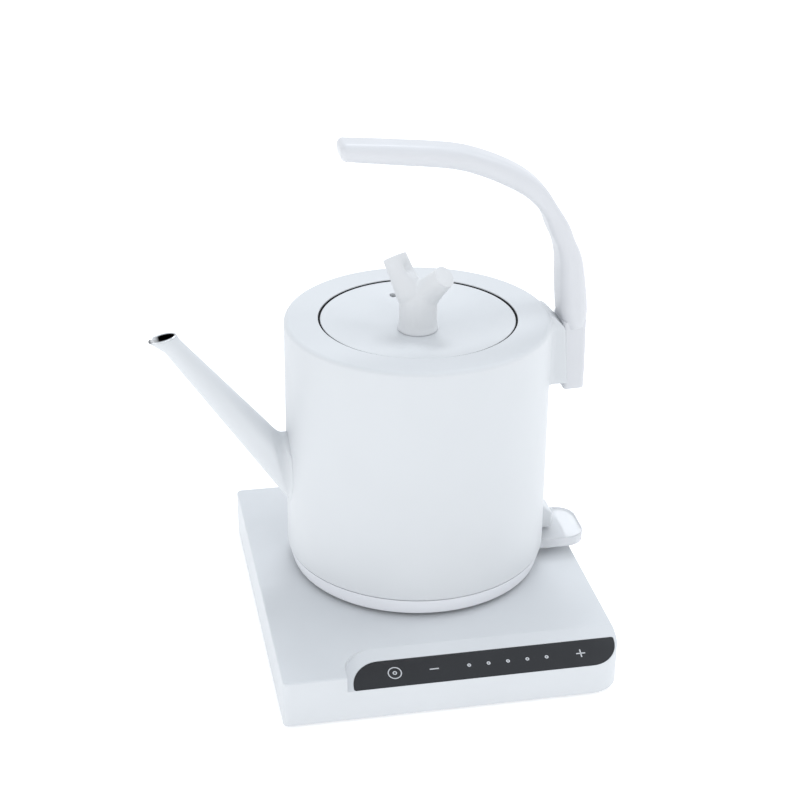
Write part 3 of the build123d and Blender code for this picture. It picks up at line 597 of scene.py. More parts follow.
@dataclass
class PowerBase(SubAssembly):
    """Housing, sloped band with its dark panel, feet, tower and what is inside."""

    front: float = 100.5
    band_depth: float = 20.5
    band_drop: float = 7.5
    mark_middle: float = -14.3
    mark_height: float = 0.03
    mark_steps: int = 48
    bar_long: float = 4.2
    bar_wide: float = 0.6
    ring_x: float = -28.0
    ring_radii: Pair = (3.2, 2.7)
    core_radii: Pair = (1.0, 0.5)
    minus_x: float = -10.0
    first_dot_x: float = 6.0
    dot_pitch: float = 9.0
    dot_radii: Pair = (0.9, 0.3)
    dots: int = 5
    plus_x: float = 58.0

    def on_band(self, x: float, across: float) -> Vector:
        """A place on the marks' level, just over the sloped band.

        Args:
            x: Distance along the band from the kettle's axis.
            across: Distance from the band's back edge, negative towards the front.

        Returns:
            The place in metres.
        """
        slope = math.atan2(self.band_drop, self.band_depth)
        up = self.mark_height
        y = -self.front + self.band_depth + across * math.cos(slope) - up * math.sin(slope)
        return spot(x, y, across * math.sin(slope) + up * math.cos(slope))

    def ring_mark(self, x: float, outer: float, inner: float) -> tuple[list[Vector], Faces]:
        """A flat ring printed on the panel.

        Args:
            x: Where its middle is along the band.
            outer: Its outer radius.
            inner: Its inner radius.

        Returns:
            Its corners and faces.
        """
        steps = self.mark_steps
        points = [self.on_band(x + radius * math.cos(a), self.mark_middle + radius * math.sin(a))
                  for radius in (outer, inner) for a in angles(steps)]
        return points, [(s, (s + 1) % steps, steps + (s + 1) % steps, steps + s) for s in range(steps)]

    def bar_mark(self, x: float, long: float, wide: float) -> tuple[list[Vector], Faces]:
        """A flat bar printed on the panel."""
        corners = ((-long, -wide), (long, -wide), (long, wide), (-long, wide))
        return [self.on_band(x + u / 2, self.mark_middle + v / 2) for u, v in corners], [(0, 1, 2, 3)]

    def make_marks(self) -> Piece:
        """A plain ring, minus, plus and a row of dots, as touch keys have them.

        Returns:
            The marks as one piece.
        """
        long, wide = self.bar_long, self.bar_wide
        shapes = [self.ring_mark(self.ring_x, *self.ring_radii), self.ring_mark(self.ring_x, *self.core_radii),
                  self.bar_mark(self.minus_x, long, wide), self.bar_mark(self.plus_x, long, wide),
                  self.bar_mark(self.plus_x, wide, long)]
        shapes += [self.ring_mark(self.first_dot_x + self.dot_pitch * k, *self.dot_radii) for k in range(self.dots)]
        points: list[Vector] = []
        faces: Faces = []
        for more, rings in shapes:
            faces += [tuple(len(points) + c for c in face) for face in rings]
            points += more
        return make_piece("panel_marks", points, faces)

    def build(self) -> None:
        """Dresses the base."""
        self.keep(Finishes.body, "base_housing")
        self.keep(Finishes.panel, "base_panel")
        self.keep(Finishes.under, "base_floor", "cord_gland")
        self.keep(Finishes.rubber, "base_feet")
        self.keep(Finishes.steel, "base_screws")
        self.keep(Finishes.black, "base_tower", "inlet_block")
        self.keep(Finishes.brass, "tower_contacts")
        self.keep(Finishes.board, "panel_board")
        self.keep(Finishes.lamp, "board_lamps")
        self.mount(self.make_marks(), Body.BASE, Finishes.marks, "panel_black")


@dataclass
class Connector(SubAssembly):
    """The round insert under the kettle and its contacts."""

    def build(self) -> None:
        """Dresses the insert."""
        self.keep(Finishes.black, "socket_insert")
        self.keep(Finishes.brass, "socket_contacts")


@dataclass
class KettleShell(SubAssembly):
    """Straight shell with a flat top, with its skirt, underside and vessel."""

    radius: float = 62.0
    wall: float = 2.0
    low: float = 10.2
    top: float = 126.1
    edge: float = 2.2
    low_edge: float = 0.3
    seam_high: float = 0.5
    seam_deep: float = 1.3
    plate: float = 2.4
    mouth: float = 46.2
    mouth_edge: float = 0.35
    flange_top: float = 122.7
    gasket_outer: float = 49.6
    lip_width: float = 0.75
    lip_depth: float = 0.5
    lip_fit: float = 0.1
    steps: int = 224
    gasket_steps: int = 200

    def make_shell(self) -> Piece:
        """The outer shell as one turned wall, with a narrow seam over the skirt.

        Returns:
            The shell.
        """
        inner, seam = self.radius - self.wall, self.radius - self.seam_deep
        low, flat = self.low + self.seam_high, self.radius - self.edge
        profile = [(inner, self.low), (seam, self.low), (seam, low)]
        profile += arc(self.radius - self.low_edge, low + self.low_edge, self.low_edge, -90, 0, 4)
        profile += [(self.radius, low + (self.top - low) * k / 12) for k in range(1, 11)]
        profile += arc(flat, self.top - self.edge, self.edge, 0, 90, 10)
        profile += [(flat * (1 - k) + self.mouth * k, self.top) for k in (0.3, 0.6, 0.85)]
        profile += arc(self.mouth + self.mouth_edge, self.top - self.mouth_edge, self.mouth_edge, 90, 180, 4)
        profile += [(self.mouth, self.top - self.plate), (inner, self.top - self.plate)]
        return turned("shell_wall", profile, self.steps)

    def make_gasket(self) -> Piece:
        """The ring under the shell's top, with a lip that stands in the gap round the lid, dressed near black as
        painted shade in the gap.

        Returns:
            The gasket.
        """
        low, high, lip_top = self.flange_top, self.top - self.plate, self.top - self.lip_depth
        inner = self.mouth - self.lip_width
        profile = [(self.gasket_outer, low), (self.gasket_outer, high), (self.mouth, high),
                   (self.mouth - self.lip_fit / 2, high), (self.mouth - self.lip_fit, lip_top), (inner, lip_top),
                   (inner, low)]
        return turned("mouth_gasket", profile, self.gasket_steps)

    def build(self) -> None:
        """Builds the shell and dresses what it holds."""
        self.mount(self.make_shell(), Body.KETTLE, Finishes.shell, "white_shell", "body_shell")
        # The gasket is dressed near black as painted shade in the lid's gap.
        self.mount(self.make_gasket(), Body.KETTLE, Finishes.seal, "silicone", "pot_gasket")
        # The skirt's lighter white is painted light.
        self.keep(Finishes.skirt, "skirt")
        self.keep(Finishes.under, "kettle_floor")
        self.keep(Finishes.steel, "floor_screws", "inner_pot", "heating_element", "strainer")
        self.keep(Finishes.aluminium, "heater_plate")
        self.keep(Finishes.black, "control_housing")
        self.keep(Finishes.brass, "bimetal_disc")
        self.keep(Finishes.silicone, "steam_tube")


@dataclass
class Spout(SubAssembly):
    """Straight tapered spout that flares softly out of the shell and opens into a steel lip."""

    tip: Triple = (-113.4, 0.0, 120.1)
    tip_radius: float = 4.6
    rise: float = 53.0
    taper: float = 0.0485
    skin: float = 1.0
    lip: Triple = (-117.5, 0.0, 123.9)
    lip_tilt: float = 12.4
    lip_reach: float = 6.62
    lip_half_width: float = 4.5
    roll_out: float = 0.5
    roll_up: float = 0.42
    roll_lift: float = 0.25
    roll_steps: int = 12
    shell_radius: float = 62.0
    sunk: float = 0.3
    flare: float = 4.4
    flare_limit: float = 16.0
    flare_stop: float = 0.78
    steep_lean: float = 0.45
    steep_range: float = 0.3
    root_near: float = 20.0
    root_far: float = 110.0
    halvings: int = 50
    cone_steps: int = 23
    flare_steps: int = 14
    steps: int = 96

    def way(self) -> Vector:
        """The direction from the root to the tip."""
        lean = math.radians(self.rise)
        return Vector((-math.cos(lean), 0.0, math.sin(lean)))

    def across(self, angle: float) -> Vector:
        """The outward direction at an angle round the spout's axis."""
        return SIDE * math.cos(angle) + SIDE.cross(self.way()) * math.sin(angle)

    def on_cone(self, back: float, angle: float, skin: float = 0.0) -> Vector:
        """A place on the cone, at a distance behind the tip, an angle round the axis and a depth under the skin."""
        middle = Vector(self.tip) - self.way() * back
        return middle + self.across(angle) * (self.tip_radius + self.taper * back - skin)

    def root(self, angle: float) -> float:
        """Finds where the cone's line at an angle meets the shell.

        Args:
            angle: Radians round the axis.

        Returns:
            The distance behind the tip.
        """
        near, far = self.root_near, self.root_far
        for _ in range(self.halvings):
            middle = (near + far) / 2
            place = self.on_cone(middle, angle)
            if place.x < 0 and math.hypot(place.x, place.y) > self.shell_radius:
                near = middle
            else:
                far = middle
        return near

    def to_shell(self, place: Vector, sunk: float = 0.0) -> Vector:
        """Moves a place level on to the shell's face, or a little under it."""
        flat = Vector((place.x, place.y, 0.0))
        return flat.normalized() * (self.shell_radius - sunk) + Vector((0.0, 0.0, place.z))

    def flare_strip(self, angle: float) -> list[Vector]:
        """The line from the tip's circle down the cone to the seam on the shell.

        Args:
            angle: Radians round the axis.

        Returns:
            Its places in millimetres.
        """
        corner = self.on_cone(self.root(angle), angle)
        cone_normal = self.across(angle)
        shell_normal = Vector((corner.x, corner.y, 0.0)).normalized()
        seam = cone_normal.cross(shell_normal).normalized()
        up_cone = facing(cone_normal.cross(seam), self.way())
        on_shell = facing(seam.cross(shell_normal), cone_normal)
        reach = min(self.flare / math.tan(up_cone.angle(on_shell) / 2), self.flare_limit)
        start = corner + up_cone * reach
        end = self.to_shell(corner + on_shell * reach)
        lean = max(up_cone.dot(on_shell), 0.0)
        upper = min(max((lean - self.steep_lean) / self.steep_range, 0.0), 1.0)
        stop = self.flare_stop * (1 - upper) + lean / (1 + lean) * upper
        tip = self.on_cone(0.0, angle)
        strip = [tip.lerp(start, step / self.cone_steps) for step in range(self.cone_steps + 1)]
        for step in range(1, self.flare_steps + 1):
            share = stop * step / self.flare_steps
            strip.append(start * (1 - share) ** 2 + corner * 2 * share * (1 - share) + end * share ** 2)
        last = strip[-1]
        foot = self.to_shell(last)
        return strip + [last.lerp(foot, 0.5), foot, self.to_shell(last, self.sunk)]

    def lip_axes(self) -> tuple[Vector, Vector]:
        """The directions up from the lip's plane and back along it."""
        tilt = math.radians(self.lip_tilt)
        return Vector((-math.sin(tilt), 0.0, math.cos(tilt))), Vector((math.cos(tilt), 0.0, math.sin(tilt)))

    def on_lip(self, angle: float, skin: float = 0.0, proud: float = 0.0) -> Vector:
        """A place on the lip's rim, a tilted oval.

        Args:
            angle: Radians round the lip.
            skin: Distance inside the outer face.
            proud: Distance above the rim's plane.

        Returns:
            The place in millimetres.
        """
        normal, along = self.lip_axes()
        middle = Vector(self.lip) + normal * proud
        return (middle + SIDE * math.cos(angle) * (self.lip_half_width - skin)
                + along * math.sin(angle) * (self.lip_reach - skin))

    def on_roll(self, angle: float, turn: float) -> Vector:
        """A place on the lip's rolled rim.

        Args:
            angle: Radians round the lip.
            turn: Radians round the roll.

        Returns:
            The place in metres.
        """
        normal, along = self.lip_axes()
        out = (SIDE * math.cos(angle) + along * math.sin(angle)).normalized()
        middle = self.on_lip(angle, self.roll_out, self.roll_lift)
        return spot(*(middle + out * math.cos(turn) * self.roll_out + normal * math.sin(turn) * self.roll_up))

    def make_spout(self) -> Piece:
        """The white spout from its lip to its flared root.

        Returns:
            The spout.
        """
        turns = angles(self.steps)
        body = [list(row) for row in zip(*(self.flare_strip(a) for a in turns))]
        inner_tip = [self.on_cone(0.0, a, self.skin) for a in turns]
        lip, inner_lip = [self.on_lip(a) for a in turns], [self.on_lip(a, self.skin) for a in turns]
        rings = [inner_tip]
        rings += [[a.lerp(b, share) for a, b in zip(inner_tip, inner_lip)] for share in (0.5, 1.0)]
        rings += [[a.lerp(b, share) for a, b in zip(lip, body[0])] for share in (0.0, 0.25, 0.5, 0.75)]
        rings += body
        return loft("spout_cone", [[spot(*p) for p in ring] for ring in rings], capped=False, crease=50.0)

    def make_lip(self) -> Piece:
        """The steel lip's rolled rim.

        Returns:
            The rim.
        """
        rings = [[self.on_roll(angle, turn) for turn in angles(self.roll_steps)] for angle in angles(self.steps)]
        return loft("pouring_lip", rings + rings[:1], capped=False, crease=60.0)

    def build(self) -> None:
        """Builds the spout and its lip."""
        self.mount(self.make_spout(), Body.KETTLE, Finishes.shell, "white_shell", "spout")
        # The lip's dark tip is a painted reflection.
        self.mount(self.make_lip(), Body.KETTLE, Finishes.lip, "steel")
        # The liner's darkening into the bore is painted shade.
        self.keep(Finishes.bore, "spout_liner")


@dataclass(frozen=True)
class Station:
    """One cross-section of the handle."""

    x: float
    z: float
    half_thickness: float
    half_width: float
    round_share: float


def stations(*rows: tuple[float, ...]) -> tuple[Station, ...]:
    """Cross-sections from rows of their numbers."""
    return tuple(Station(*row) for row in rows)


@dataclass
class Handle(SubAssembly):
    """Branch-like handle with its bracket, screws and the small hood under it."""

    branch: tuple[Station, ...] = stations(
        (-33.8, 208.3, 4.3, 8.0, 0.90), (-10.3, 205.9, 4.7, 8.0, 0.90), (13.4, 203.1, 4.9, 8.0, 0.90),
        (27.4, 199.2, 5.0, 8.2, 0.90), (42.0, 192.5, 5.0, 8.4, 0.90), (52.6, 185.1, 4.5, 8.5, 0.90),
        (60.0, 175.6, 3.8, 8.6, 0.88), (64.6, 166.9, 4.6, 8.8, 0.86), (67.7, 159.8, 4.4, 9.0, 0.84),
        (70.5, 151.2, 5.3, 9.4, 0.80), (72.0, 138.8, 6.1, 9.8, 0.78), (73.1, 128.0, 6.3, 10.1, 0.80),
        (73.5, 122.2, 5.9, 10.1, 0.86), (74.0, 118.9, 5.2, 9.9, 0.94))
    foot: tuple[Station, ...] = stations(
        (73.2, 121.4, 5.7, 9.0, 0.36), (73.3, 114.4, 5.7, 9.0, 0.36), (73.8, 100.1, 5.5, 9.0, 0.36),
        (74.2, 87.5, 5.0, 8.9, 0.36))
    end_slant: float = 13.0
    slant_reach: float = 0.8
    end_round: float = 2.9
    step_round: float = 1.1
    foot_start: float = 0.2
    foot_round: float = 0.8
    least_corner: float = 0.3
    least_flat: float = 0.02
    look_step: float = 0.02
    end_rings: int = 6
    steps_between: int = 10
    shell_radius: float = 62.0
    bracket_half_width: float = 9.7
    bracket_flare: float = 4.0
    bracket_sunk: float = 2.6
    bracket_low: float = 90.3
    bracket_edge: float = 0.6
    flare_top: float = 122.5
    flare_fade: float = 4.0
    side_steps: int = 15
    corner_steps: int = 5
    bracket_side: tuple[Pair, ...] = (
        (90.3, 70.4), (104.0, 69.4), (117.4, 68.6), (119.4, 67.9), (120.9, 66.6), (122.4, 65.2), (124.1, 63.6),
        (125.3, 62.0))

    def curve(self, values: list[float], where: float) -> float:
        """A smooth value between stations.

        Args:
            values: The value at each station.
            where: Station number, with its fraction.

        Returns:
            The value there.
        """
        last = len(values) - 1
        first = min(int(where), last - 1)
        t = where - first
        v = [values[max(0, min(last, first + k))] for k in (-1, 0, 1, 2)]
        if first == 0:
            v[0] = 2 * v[1] - v[2]
        if first == last - 1:
            v[3] = 2 * v[2] - v[1]
        return 0.5 * (2 * v[1] + (v[2] - v[0]) * t + (2 * v[0] - 5 * v[1] + 4 * v[2] - v[3]) * t * t
                      + (3 * v[1] - v[0] - 3 * v[2] + v[3]) * t ** 3)

    def ring(self, limb: tuple[Station, ...], where: float, shrink: float = 0.0, ahead: float = 0.0,
             slant: float = 0.0) -> list[Vector]:
        """One rounded cross-section.

        Args:
            limb: The limb's cross-sections.
            where: Station number, with its fraction.
            shrink: Distance taken off all round.
            ahead: Distance moved along the handle.
            slant: How far the section leans.

        Returns:
            Places round the section, in metres.
        """
        xs, zs = [s.x for s in limb], [s.z for s in limb]
        before, after = max(0.0, where - self.look_step), min(len(limb) - 1.0, where + self.look_step)
        run = self.curve(xs, after) - self.curve(xs, before)
        rise = self.curve(zs, after) - self.curve(zs, before)
        angle = math.atan2(rise, run) + math.radians(slant)
        way = Vector((math.cos(angle), 0.0, math.sin(angle)))
        out = Vector((-way.z, 0.0, way.x))
        middle = Vector((self.curve(xs, where), 0.0, self.curve(zs, where))) + way * ahead
        thick = self.curve([s.half_thickness for s in limb], where)
        wide = self.curve([s.half_width for s in limb], where) - shrink
        radius = thick * self.curve([s.round_share for s in limb], where)
        corner = min(max(radius - shrink * 0.5, self.least_corner), thick - shrink - self.least_flat)
        return [spot(*(middle + SIDE * u + out * v)) for u, v in rounded_box(wide, thick - shrink, corner)]

    def make_limb(self, limb: tuple[Station, ...], name: str, slant: float, first_round: float,
                  last_round: float) -> Piece:
        """A smooth limb through cross-sections with rounded ends.

        Args:
            limb: The limb's cross-sections.
            name: The piece's name.
            slant: How far the first section leans.
            first_round: Rounding of the first end.
            last_round: Rounding of the last end.

        Returns:
            The limb.
        """
        last, count = len(limb) - 1, self.end_rings
        rings = []
        for k in range(count):
            turn = math.pi / 2 * k / count
            rings.append(self.ring(limb, 0.0, first_round * (1 - math.sin(turn)), -first_round * math.cos(turn),
                                   slant))
        for k in range(last * self.steps_between + 1):
            where = k / self.steps_between
            rings.append(self.ring(limb, where, slant=slant * max(0.0, 1 - where / self.slant_reach)))
        for k in range(1, count):
            turn = math.pi / 2 * k / (count - 1)
            rings.append(self.ring(limb, float(last), last_round * (1 - math.cos(turn)), last_round * math.sin(turn)))
        return loft(name, rings, crease=50.0)

    def make_handle(self) -> Piece:
        """The branch and the narrower foot below its step, as one piece.

        Returns:
            The handle.
        """
        branch = self.make_limb(self.branch, "branch", self.end_slant, self.end_round, self.step_round)
        foot = self.make_limb(self.foot, "foot", 0.0, self.foot_start, self.foot_round)
        return join_pieces("branch_handle", [branch, foot], 50.0)

    def flare_half_width(self, x: float) -> float:
        """Half the bracket's width, which widens softly into the shell.

        Args:
            x: How far out from the kettle's axis.

        Returns:
            The half width there.
        """
        half, flare = self.bracket_half_width, self.bracket_flare
        start = math.sqrt((self.shell_radius + flare) ** 2 - (half + flare) ** 2)
        if x >= start:
            return half
        return half + flare - math.sqrt(flare ** 2 - min(start - x, flare * 0.995) ** 2)

    def bracket_ring(self, z: float, end: float, shrink: float) -> list[Vector]:
        """A level section of the bracket.

        Args:
            z: Its height.
            end: How far out it reaches.
            shrink: Distance taken off its sides and end.

        Returns:
            The ring's places in metres.
        """
        near, edge, half = self.shell_radius - self.bracket_sunk, self.bracket_edge, self.bracket_half_width
        far = end - shrink - edge
        fade = min(1.0, max(0.0, (self.flare_top - z) / self.flare_fade))
        side = []
        for x in (near + (far - near) * k / self.side_steps for k in range(self.side_steps + 1)):
            side.append((x, half + (self.flare_half_width(x) - half) * fade - shrink))
        corner_y = side[-1][1] - edge
        for angle in (math.pi / 2 * k / self.corner_steps for k in range(1, self.corner_steps + 1)):
            side.append((far + edge * math.sin(angle), corner_y + edge * math.cos(angle)))
        outline = [(x, -y) for x, y in side] + [(x, y) for x, y in reversed(side)]
        return [spot(x, y, z) for x, y in outline]

    def make_bracket(self) -> Piece:
        """The bracket, flared into the shell, with a shoulder that slopes down to the handle.

        Returns:
            The bracket.
        """
        low, edge = self.bracket_low, self.bracket_edge
        rings = [self.bracket_ring(low + edge * (1 - math.cos(a)), self.bracket_side[0][1], edge * (1 - math.sin(a)))
                 for a in (0.0, 0.4, 0.8, 1.2)]
        for (z, end), (next_z, next_end) in zip(self.bracket_side, self.bracket_side[1:]):
            for share in (k / 5 for k in range(1, 6)):
                height = z + (next_z - z) * share
                if height > low + edge:
                    rings.append(self.bracket_ring(height, end + (next_end - end) * share, 0.0))
        return loft("flared_bracket", rings, crease=40.0)

    def build(self) -> None:
        """Builds the handle and its bracket and dresses the fittings."""
        self.mount(self.make_handle(), Body.KETTLE, Finishes.handle, "white_handle", "handle")
        self.mount(self.make_bracket(), Body.KETTLE, Finishes.shell, "white_plastic", "handle_bracket")
        self.keep(Finishes.steel, "handle_screws")
        self.keep(Finishes.body, "switch_hood")


@dataclass(frozen=True)
class Branch:
    """One limb of the knob, cut off flat at its end."""

    start: Triple
    way: Triple
    cut: Triple
    length: float
    near_radius: float
    far_radius: float
    inside: float = 5.0
    past_cut: float = 7.0

    def outline(self) -> Outline:
        """The limb's form from inside the trunk to past its cut.

        Returns:
            Distance along it and radius, in order.
        """
        near, far, long = self.near_radius, self.far_radius, self.length
        return [(-self.inside, near * 0.78), (0.0, near), (long * 0.5, near * 0.35 + far * 0.65), (long, far),
                (long + self.past_cut, far)]


@dataclass
class Lid(SubAssembly):
    """Dished lid with a vent, the cup and seal under it and the twig knob."""

    radius: float = 45.3
    top: float = 125.65
    dish: float = 5.95
    thickness: float = 2.4
    rim_low: float = 123.0
    rim_inner: float = 42.9
    edge: float = 0.5
    core: float = 0.02
    vent_x: float = -5.2
    vent_y: float = 33.6
    vent_radius: float = 1.7
    drill_depth: float = 14.0
    drill_core: float = 0.01
    drill_over: float = 2.0
    steps: int = 200
    drill_steps: int = 40
    trunk: float = 8.8
    foot: float = 9.5
    foot_gap: float = 0.3
    knob_sunk: float = 0.2
    core_inset: float = 0.7
    core_proud: float = 0.1
    shoulder_z: float = 134.0
    branches: tuple[Branch, ...] = (
        Branch((-3.3, 0.5, 137.1), (-0.340, 0.375, 0.862), (-0.290, 0.475, 0.828), 18.9, 6.9, 5.7),
        Branch((2.2, 0.4, 135.8), (0.458, -0.516, 0.724), (0.480, -0.560, 0.675), 17.7, 7.6, 5.2),
    )
    limb_steps: int = 48
    grain: float = 0.0004
    smoothing: int = 34
    cut_bevel: float = 0.3
    dimple_place: Triple = (-4.1, 1.9, 150.3)
    dimple_depth: float = 3.0
    dimple_long: float = 3.8
    dimple_wide: float = 2.3

    def dish_z(self, radius: float, drop: float = 0.0) -> float:
        """Height of the dished face at a radius."""
        sphere = (self.radius ** 2 + self.dish ** 2) / (2 * self.dish)
        return self.top - self.dish - drop + sphere - math.sqrt(sphere ** 2 - radius ** 2)

    def make_lid(self) -> Piece:
        """The dished disc with its vent.

        Returns:
            The disc.
        """
        shoulder = self.radius - self.edge
        profile = [(self.core, self.dish_z(self.core))]
        profile += [(r, self.dish_z(r)) for r in [self.radius * k / 20 for k in range(1, 20)]]
        profile += arc(shoulder, self.dish_z(shoulder) - self.edge, self.edge, 82, 0, 6)
        profile += [(self.radius, self.rim_low), (self.rim_inner, self.rim_low)]
        profile += [(r, self.dish_z(r, self.thickness)) for r in [self.rim_inner * (1 - k / 10) for k in range(10)]]
        profile += [(self.core, self.dish_z(0.0, self.thickness))]
        disc = turned("lid_disc", profile, self.steps)
        low, high, wide = self.top - self.drill_depth, self.top + self.drill_over, self.vent_radius
        outline = [(self.drill_core, low), (wide, low), (wide, high), (self.drill_core, high)]
        drill = turned("drill", outline, self.drill_steps, self.vent_x, self.vent_y)
        combine(disc, drill, Joining.CUT)
        soften(disc)
        return disc

    def limb(self, start: Vector, way: Vector, radii: Outline) -> Piece:
        """A round limb of the twig.

        Args:
            start: Where it starts.
            way: The direction it grows in.
            radii: Distance along it and radius, in order.

        Returns:
            The closed limb.
        """
        way = way.normalized()
        side = (SIDE - way * SIDE.dot(way)).normalized()
        up = way.cross(side)
        rings = [[spot(*(start + way * along + (side * math.cos(a) + up * math.sin(a)) * radius))
                  for a in angles(self.limb_steps)] for along, radius in radii]
        return loft("limb", rings)

    def grow_branches(self, trunk: Piece) -> None:
        """Grows the branches out of the trunk with soft crotches.

        Args:
            trunk: The twig's trunk.
        """
        for branch in self.branches:
            combine(trunk, self.limb(Vector(branch.start), Vector(branch.way), branch.outline()), Joining.GROW)
        remesh = trunk.modifiers.new("even", "REMESH")
        remesh.mode, remesh.voxel_size, remesh.use_smooth_shade = "VOXEL", self.grain, True
        smooth = trunk.modifiers.new("smooth", "SMOOTH")
        smooth.factor, smooth.iterations = 0.5, self.smoothing
        settle(trunk)

    def press_dimple(self, trunk: Piece) -> None:
        """Presses a shallow dimple into the left branch.

        Args:
            trunk: The twig with its branches.
        """
        middle = spot(*self.dimple_place)
        root, way = spot(*self.branches[0].start), Vector(self.branches[0].way).normalized()
        foot = root + way * (middle - root).dot(way)
        out = (middle - foot).normalized()
        across = way.cross(out)
        for vertex in trunk.data.vertices:
            gap = vertex.co - middle
            if (vertex.co - foot).dot(out) < 0:
                continue
            share = (gap.dot(way) / (self.dimple_long * MM)) ** 2 + (gap.dot(across) / (self.dimple_wide * MM)) ** 2
            vertex.co -= out * (self.dimple_depth * MM * math.exp(-share))

    def cut_ends(self, trunk: Piece) -> None:
        """Cuts each branch off flat, with a narrow bevel, and trims the foot.

        Args:
            trunk: The twig with its branches.
        """
        work = bmesh.new()
        work.from_mesh(trunk.data)
        planes = [(spot(*(Vector(b.start) + Vector(b.way).normalized() * b.length)), Vector(b.cut))
                  for b in self.branches]
        planes.append((spot(0.0, 0.0, self.foot_level()), -UPRIGHT))
        for place, normal in planes:
            found = bmesh.ops.bisect_plane(work, geom=work.verts[:] + work.edges[:] + work.faces[:], dist=1e-6,
                                           plane_co=place, plane_no=normal, clear_outer=True)
            rim = [e for e in found["geom_cut"] if isinstance(e, bmesh.types.BMEdge)]
            made = bmesh.ops.contextual_create(work, geom=rim)["faces"]
            edges = [e for face in made for e in face.edges]
            bmesh.ops.bevel(work, geom=edges, offset=self.cut_bevel * MM, segments=2, profile=0.5, affect="EDGES",
                            clamp_overlap=True)
        work.to_mesh(trunk.data)
        work.free()

    def foot_level(self) -> float:
        """Height of the foot's underside, just clear of the dish."""
        return self.dish_z(self.foot) + self.foot_gap

    def make_knob(self) -> Piece:
        """The forked twig, grown together and smoothed.

        Returns:
            The knob.
        """
        low = self.dish_z(0.0) - self.knob_sunk
        rise, base = self.shoulder_z - low, Vector((0.0, 0.0, low))
        trunk = self.limb(base, UPRIGHT, [
            (0.0, self.foot), (1.0, self.foot), (2.0, self.foot - 0.3), (3.4, self.trunk + 0.1), (5.0, self.trunk),
            (rise - 2.0, self.trunk), (rise + 1.0, self.trunk - 0.3), (rise + 3.5, self.trunk - 1.2),
            (rise + 6.5, self.trunk - 3.4)])
        self.grow_branches(trunk)
        self.press_dimple(trunk)
        self.cut_ends(trunk)
        inner = self.foot - self.core_inset
        core = self.limb(base, UPRIGHT, [(0.0, inner), (self.foot_level() - low + self.core_proud, inner)])
        return join_pieces("twig_knob", [trunk, core], 30.0)

    def build(self) -> None:
        """Builds the lid and its knob."""
        self.mount(self.make_lid(), Body.LID, Finishes.shell, "white_shell", "lid_top")
        # The knob's lighter white is painted light.
        self.mount(self.make_knob(), Body.LID, Finishes.twig, "white_handle", "lid_knob")
        self.keep(Finishes.steel, "lid_cup", "knob_screw")
        self.keep(Finishes.silicone, "lid_seal")


@dataclass
class Switch(SubAssembly):
    """Clear paddle and the rod it lifts."""

    def build(self) -> None:
        """Dresses the switch."""
        self.keep(Finishes.clear, "switch_lever")
        self.keep(Finishes.black, "contact_rod")


@dataclass(frozen=True)
class Lamp:
    """A square soft light, with its size in metres and its power in watts."""

    name: str
    place: Triple
    size: float
    power: float
    colour: Triple = (1.0, 1.0, 1.0)


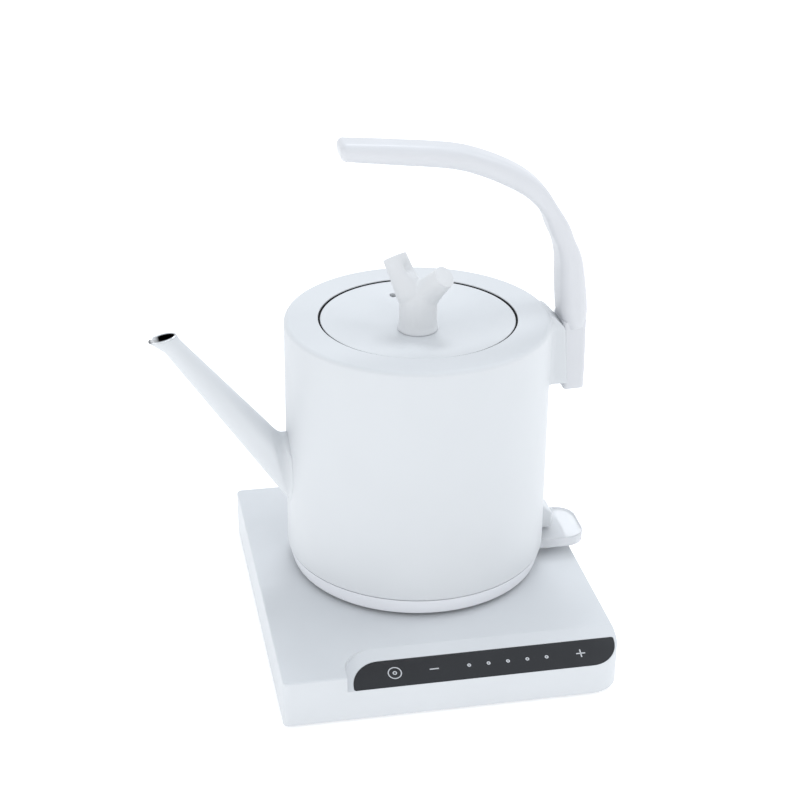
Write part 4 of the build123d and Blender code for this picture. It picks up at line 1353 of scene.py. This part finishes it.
@dataclass
class Studio:
    """Camera, lights, pale surroundings and floor, in metres and radians."""

    camera_place: Triple = (-0.1387281, -0.73685, 0.4840)
    yaw: float = 0.19934
    pitch: float = 0.45834
    roll: float = 0.01009
    lens: float = 81.188
    sensor: float = 36.0
    sky: tuple[tuple[float, Triple], ...] = (
        (0.0, (1.0, 1.0, 1.0)),
        (0.04, (1.0, 1.0, 1.0)),
        (0.09, (0.88, 0.885, 0.895)),
        (0.4, (0.82, 0.84, 0.87)),
        (0.75, (0.82, 0.87, 0.925)),
        (1.0, (0.83, 0.89, 0.955)),
    )
    floor_half: float = 6.0
    floor_tone: float = 0.9
    floor_glow: float = 0.36
    aim: Triple = (0.0, 0.0, 0.1)
    lamps: tuple[Lamp, ...] = (
        Lamp("left_light", (-1.4, -0.7, 0.4), 0.9, 2.0),
        Lamp("back_light", (0.25, 0.85, 1.45), 0.45, 5.6, (0.94, 0.97, 1.0)),
        Lamp("right_light", (0.8, 0.05, 1.25), 0.55, 2.3, (0.96, 0.98, 1.0)),
        Lamp("front_light", (0.2, -1.2, 1.4), 0.8, 2.1, (0.96, 0.98, 1.0)),
    )

    def make_camera(self) -> None:
        """Sets the camera as the picture was taken."""
        look = Vector((math.cos(self.pitch) * math.sin(self.yaw), math.cos(self.pitch) * math.cos(self.yaw),
                       -math.sin(self.pitch)))
        level = Vector((math.cos(self.yaw), -math.sin(self.yaw), 0.0))
        upright = level.cross(look)
        right = level * math.cos(self.roll) + upright * math.sin(self.roll)
        up = -level * math.sin(self.roll) + upright * math.cos(self.roll)
        data = bpy.data.cameras.new("camera")
        data.lens, data.sensor_width = self.lens, self.sensor
        data.clip_start, data.clip_end = 0.01, 50.0
        camera = bpy.data.objects.new("camera", data)
        turn = Matrix((right, up, -look)).transposed().to_4x4()
        camera.matrix_world = Matrix.Translation(self.camera_place) @ turn
        bpy.context.scene.collection.objects.link(camera)
        bpy.context.scene.camera = camera

    def make_floor(self) -> None:
        """A plain pale floor."""
        half = self.floor_half
        corners = [Vector((x, y, 0.0)) for x, y in ((-half, -half), (half, -half), (half, half), (-half, half))]
        floor = make_piece("floor", corners, [(0, 1, 2, 3)])
        paper = Moulded("pale_paper", (self.floor_tone,) * 3, 0.9, 0.05, 0.002, 3.0, 900.0, 0.00001, ior=1.3,
                        glow=self.floor_glow)
        FINISHES.dress(floor, paper)

    def make_sky(self) -> None:
        """Pale surroundings, brighter low down than overhead."""
        world = bpy.data.worlds.new("tent")
        world.use_nodes = True
        tree = world.node_tree
        place = tree.nodes.new("ShaderNodeTexCoord")
        parts = tree.nodes.new("ShaderNodeSeparateXYZ")
        ramp = tree.nodes.new("ShaderNodeValToRGB")
        while len(ramp.color_ramp.elements) < len(self.sky):
            ramp.color_ramp.elements.new(0.5)
        for stop, (height, colour) in zip(ramp.color_ramp.elements, self.sky):
            stop.position, stop.color = height, (*colour, 1.0)
        tree.links.new(place.outputs["Generated"], parts.inputs["Vector"])
        tree.links.new(parts.outputs["Z"], ramp.inputs["Fac"])
        tree.links.new(ramp.outputs["Color"], tree.nodes["Background"].inputs["Color"])
        bpy.context.scene.world = world

    def make_lights(self) -> None:
        """Soft lights from the left, the back, the right and the front."""
        for lamp in self.lamps:
            data = bpy.data.lights.new(lamp.name, "AREA")
            data.shape, data.size, data.energy, data.color = "SQUARE", lamp.size, lamp.power, lamp.colour
            light = bpy.data.objects.new(lamp.name, data)
            light.location = lamp.place
            light.rotation_euler = (Vector(self.aim) - Vector(lamp.place)).to_track_quat("-Z", "Y").to_euler()
            bpy.context.scene.collection.objects.link(light)

    def build(self) -> None:
        """Sets up the picture."""
        self.make_camera()
        self.make_floor()
        self.make_sky()
        self.make_lights()
        bpy.context.scene.view_settings.view_transform = "Standard"


def main() -> None:
    """Builds the studio and every sub-assembly in order."""
    logging.basicConfig(level=logging.INFO, format="%(name)s %(message)s")
    Studio().build()
    for group in (PowerBase(), Connector(), KettleShell(), Spout(), Handle(), Lid(), Switch()):
        group.build()
        group.report()


if __name__ == "__main__":
    main()
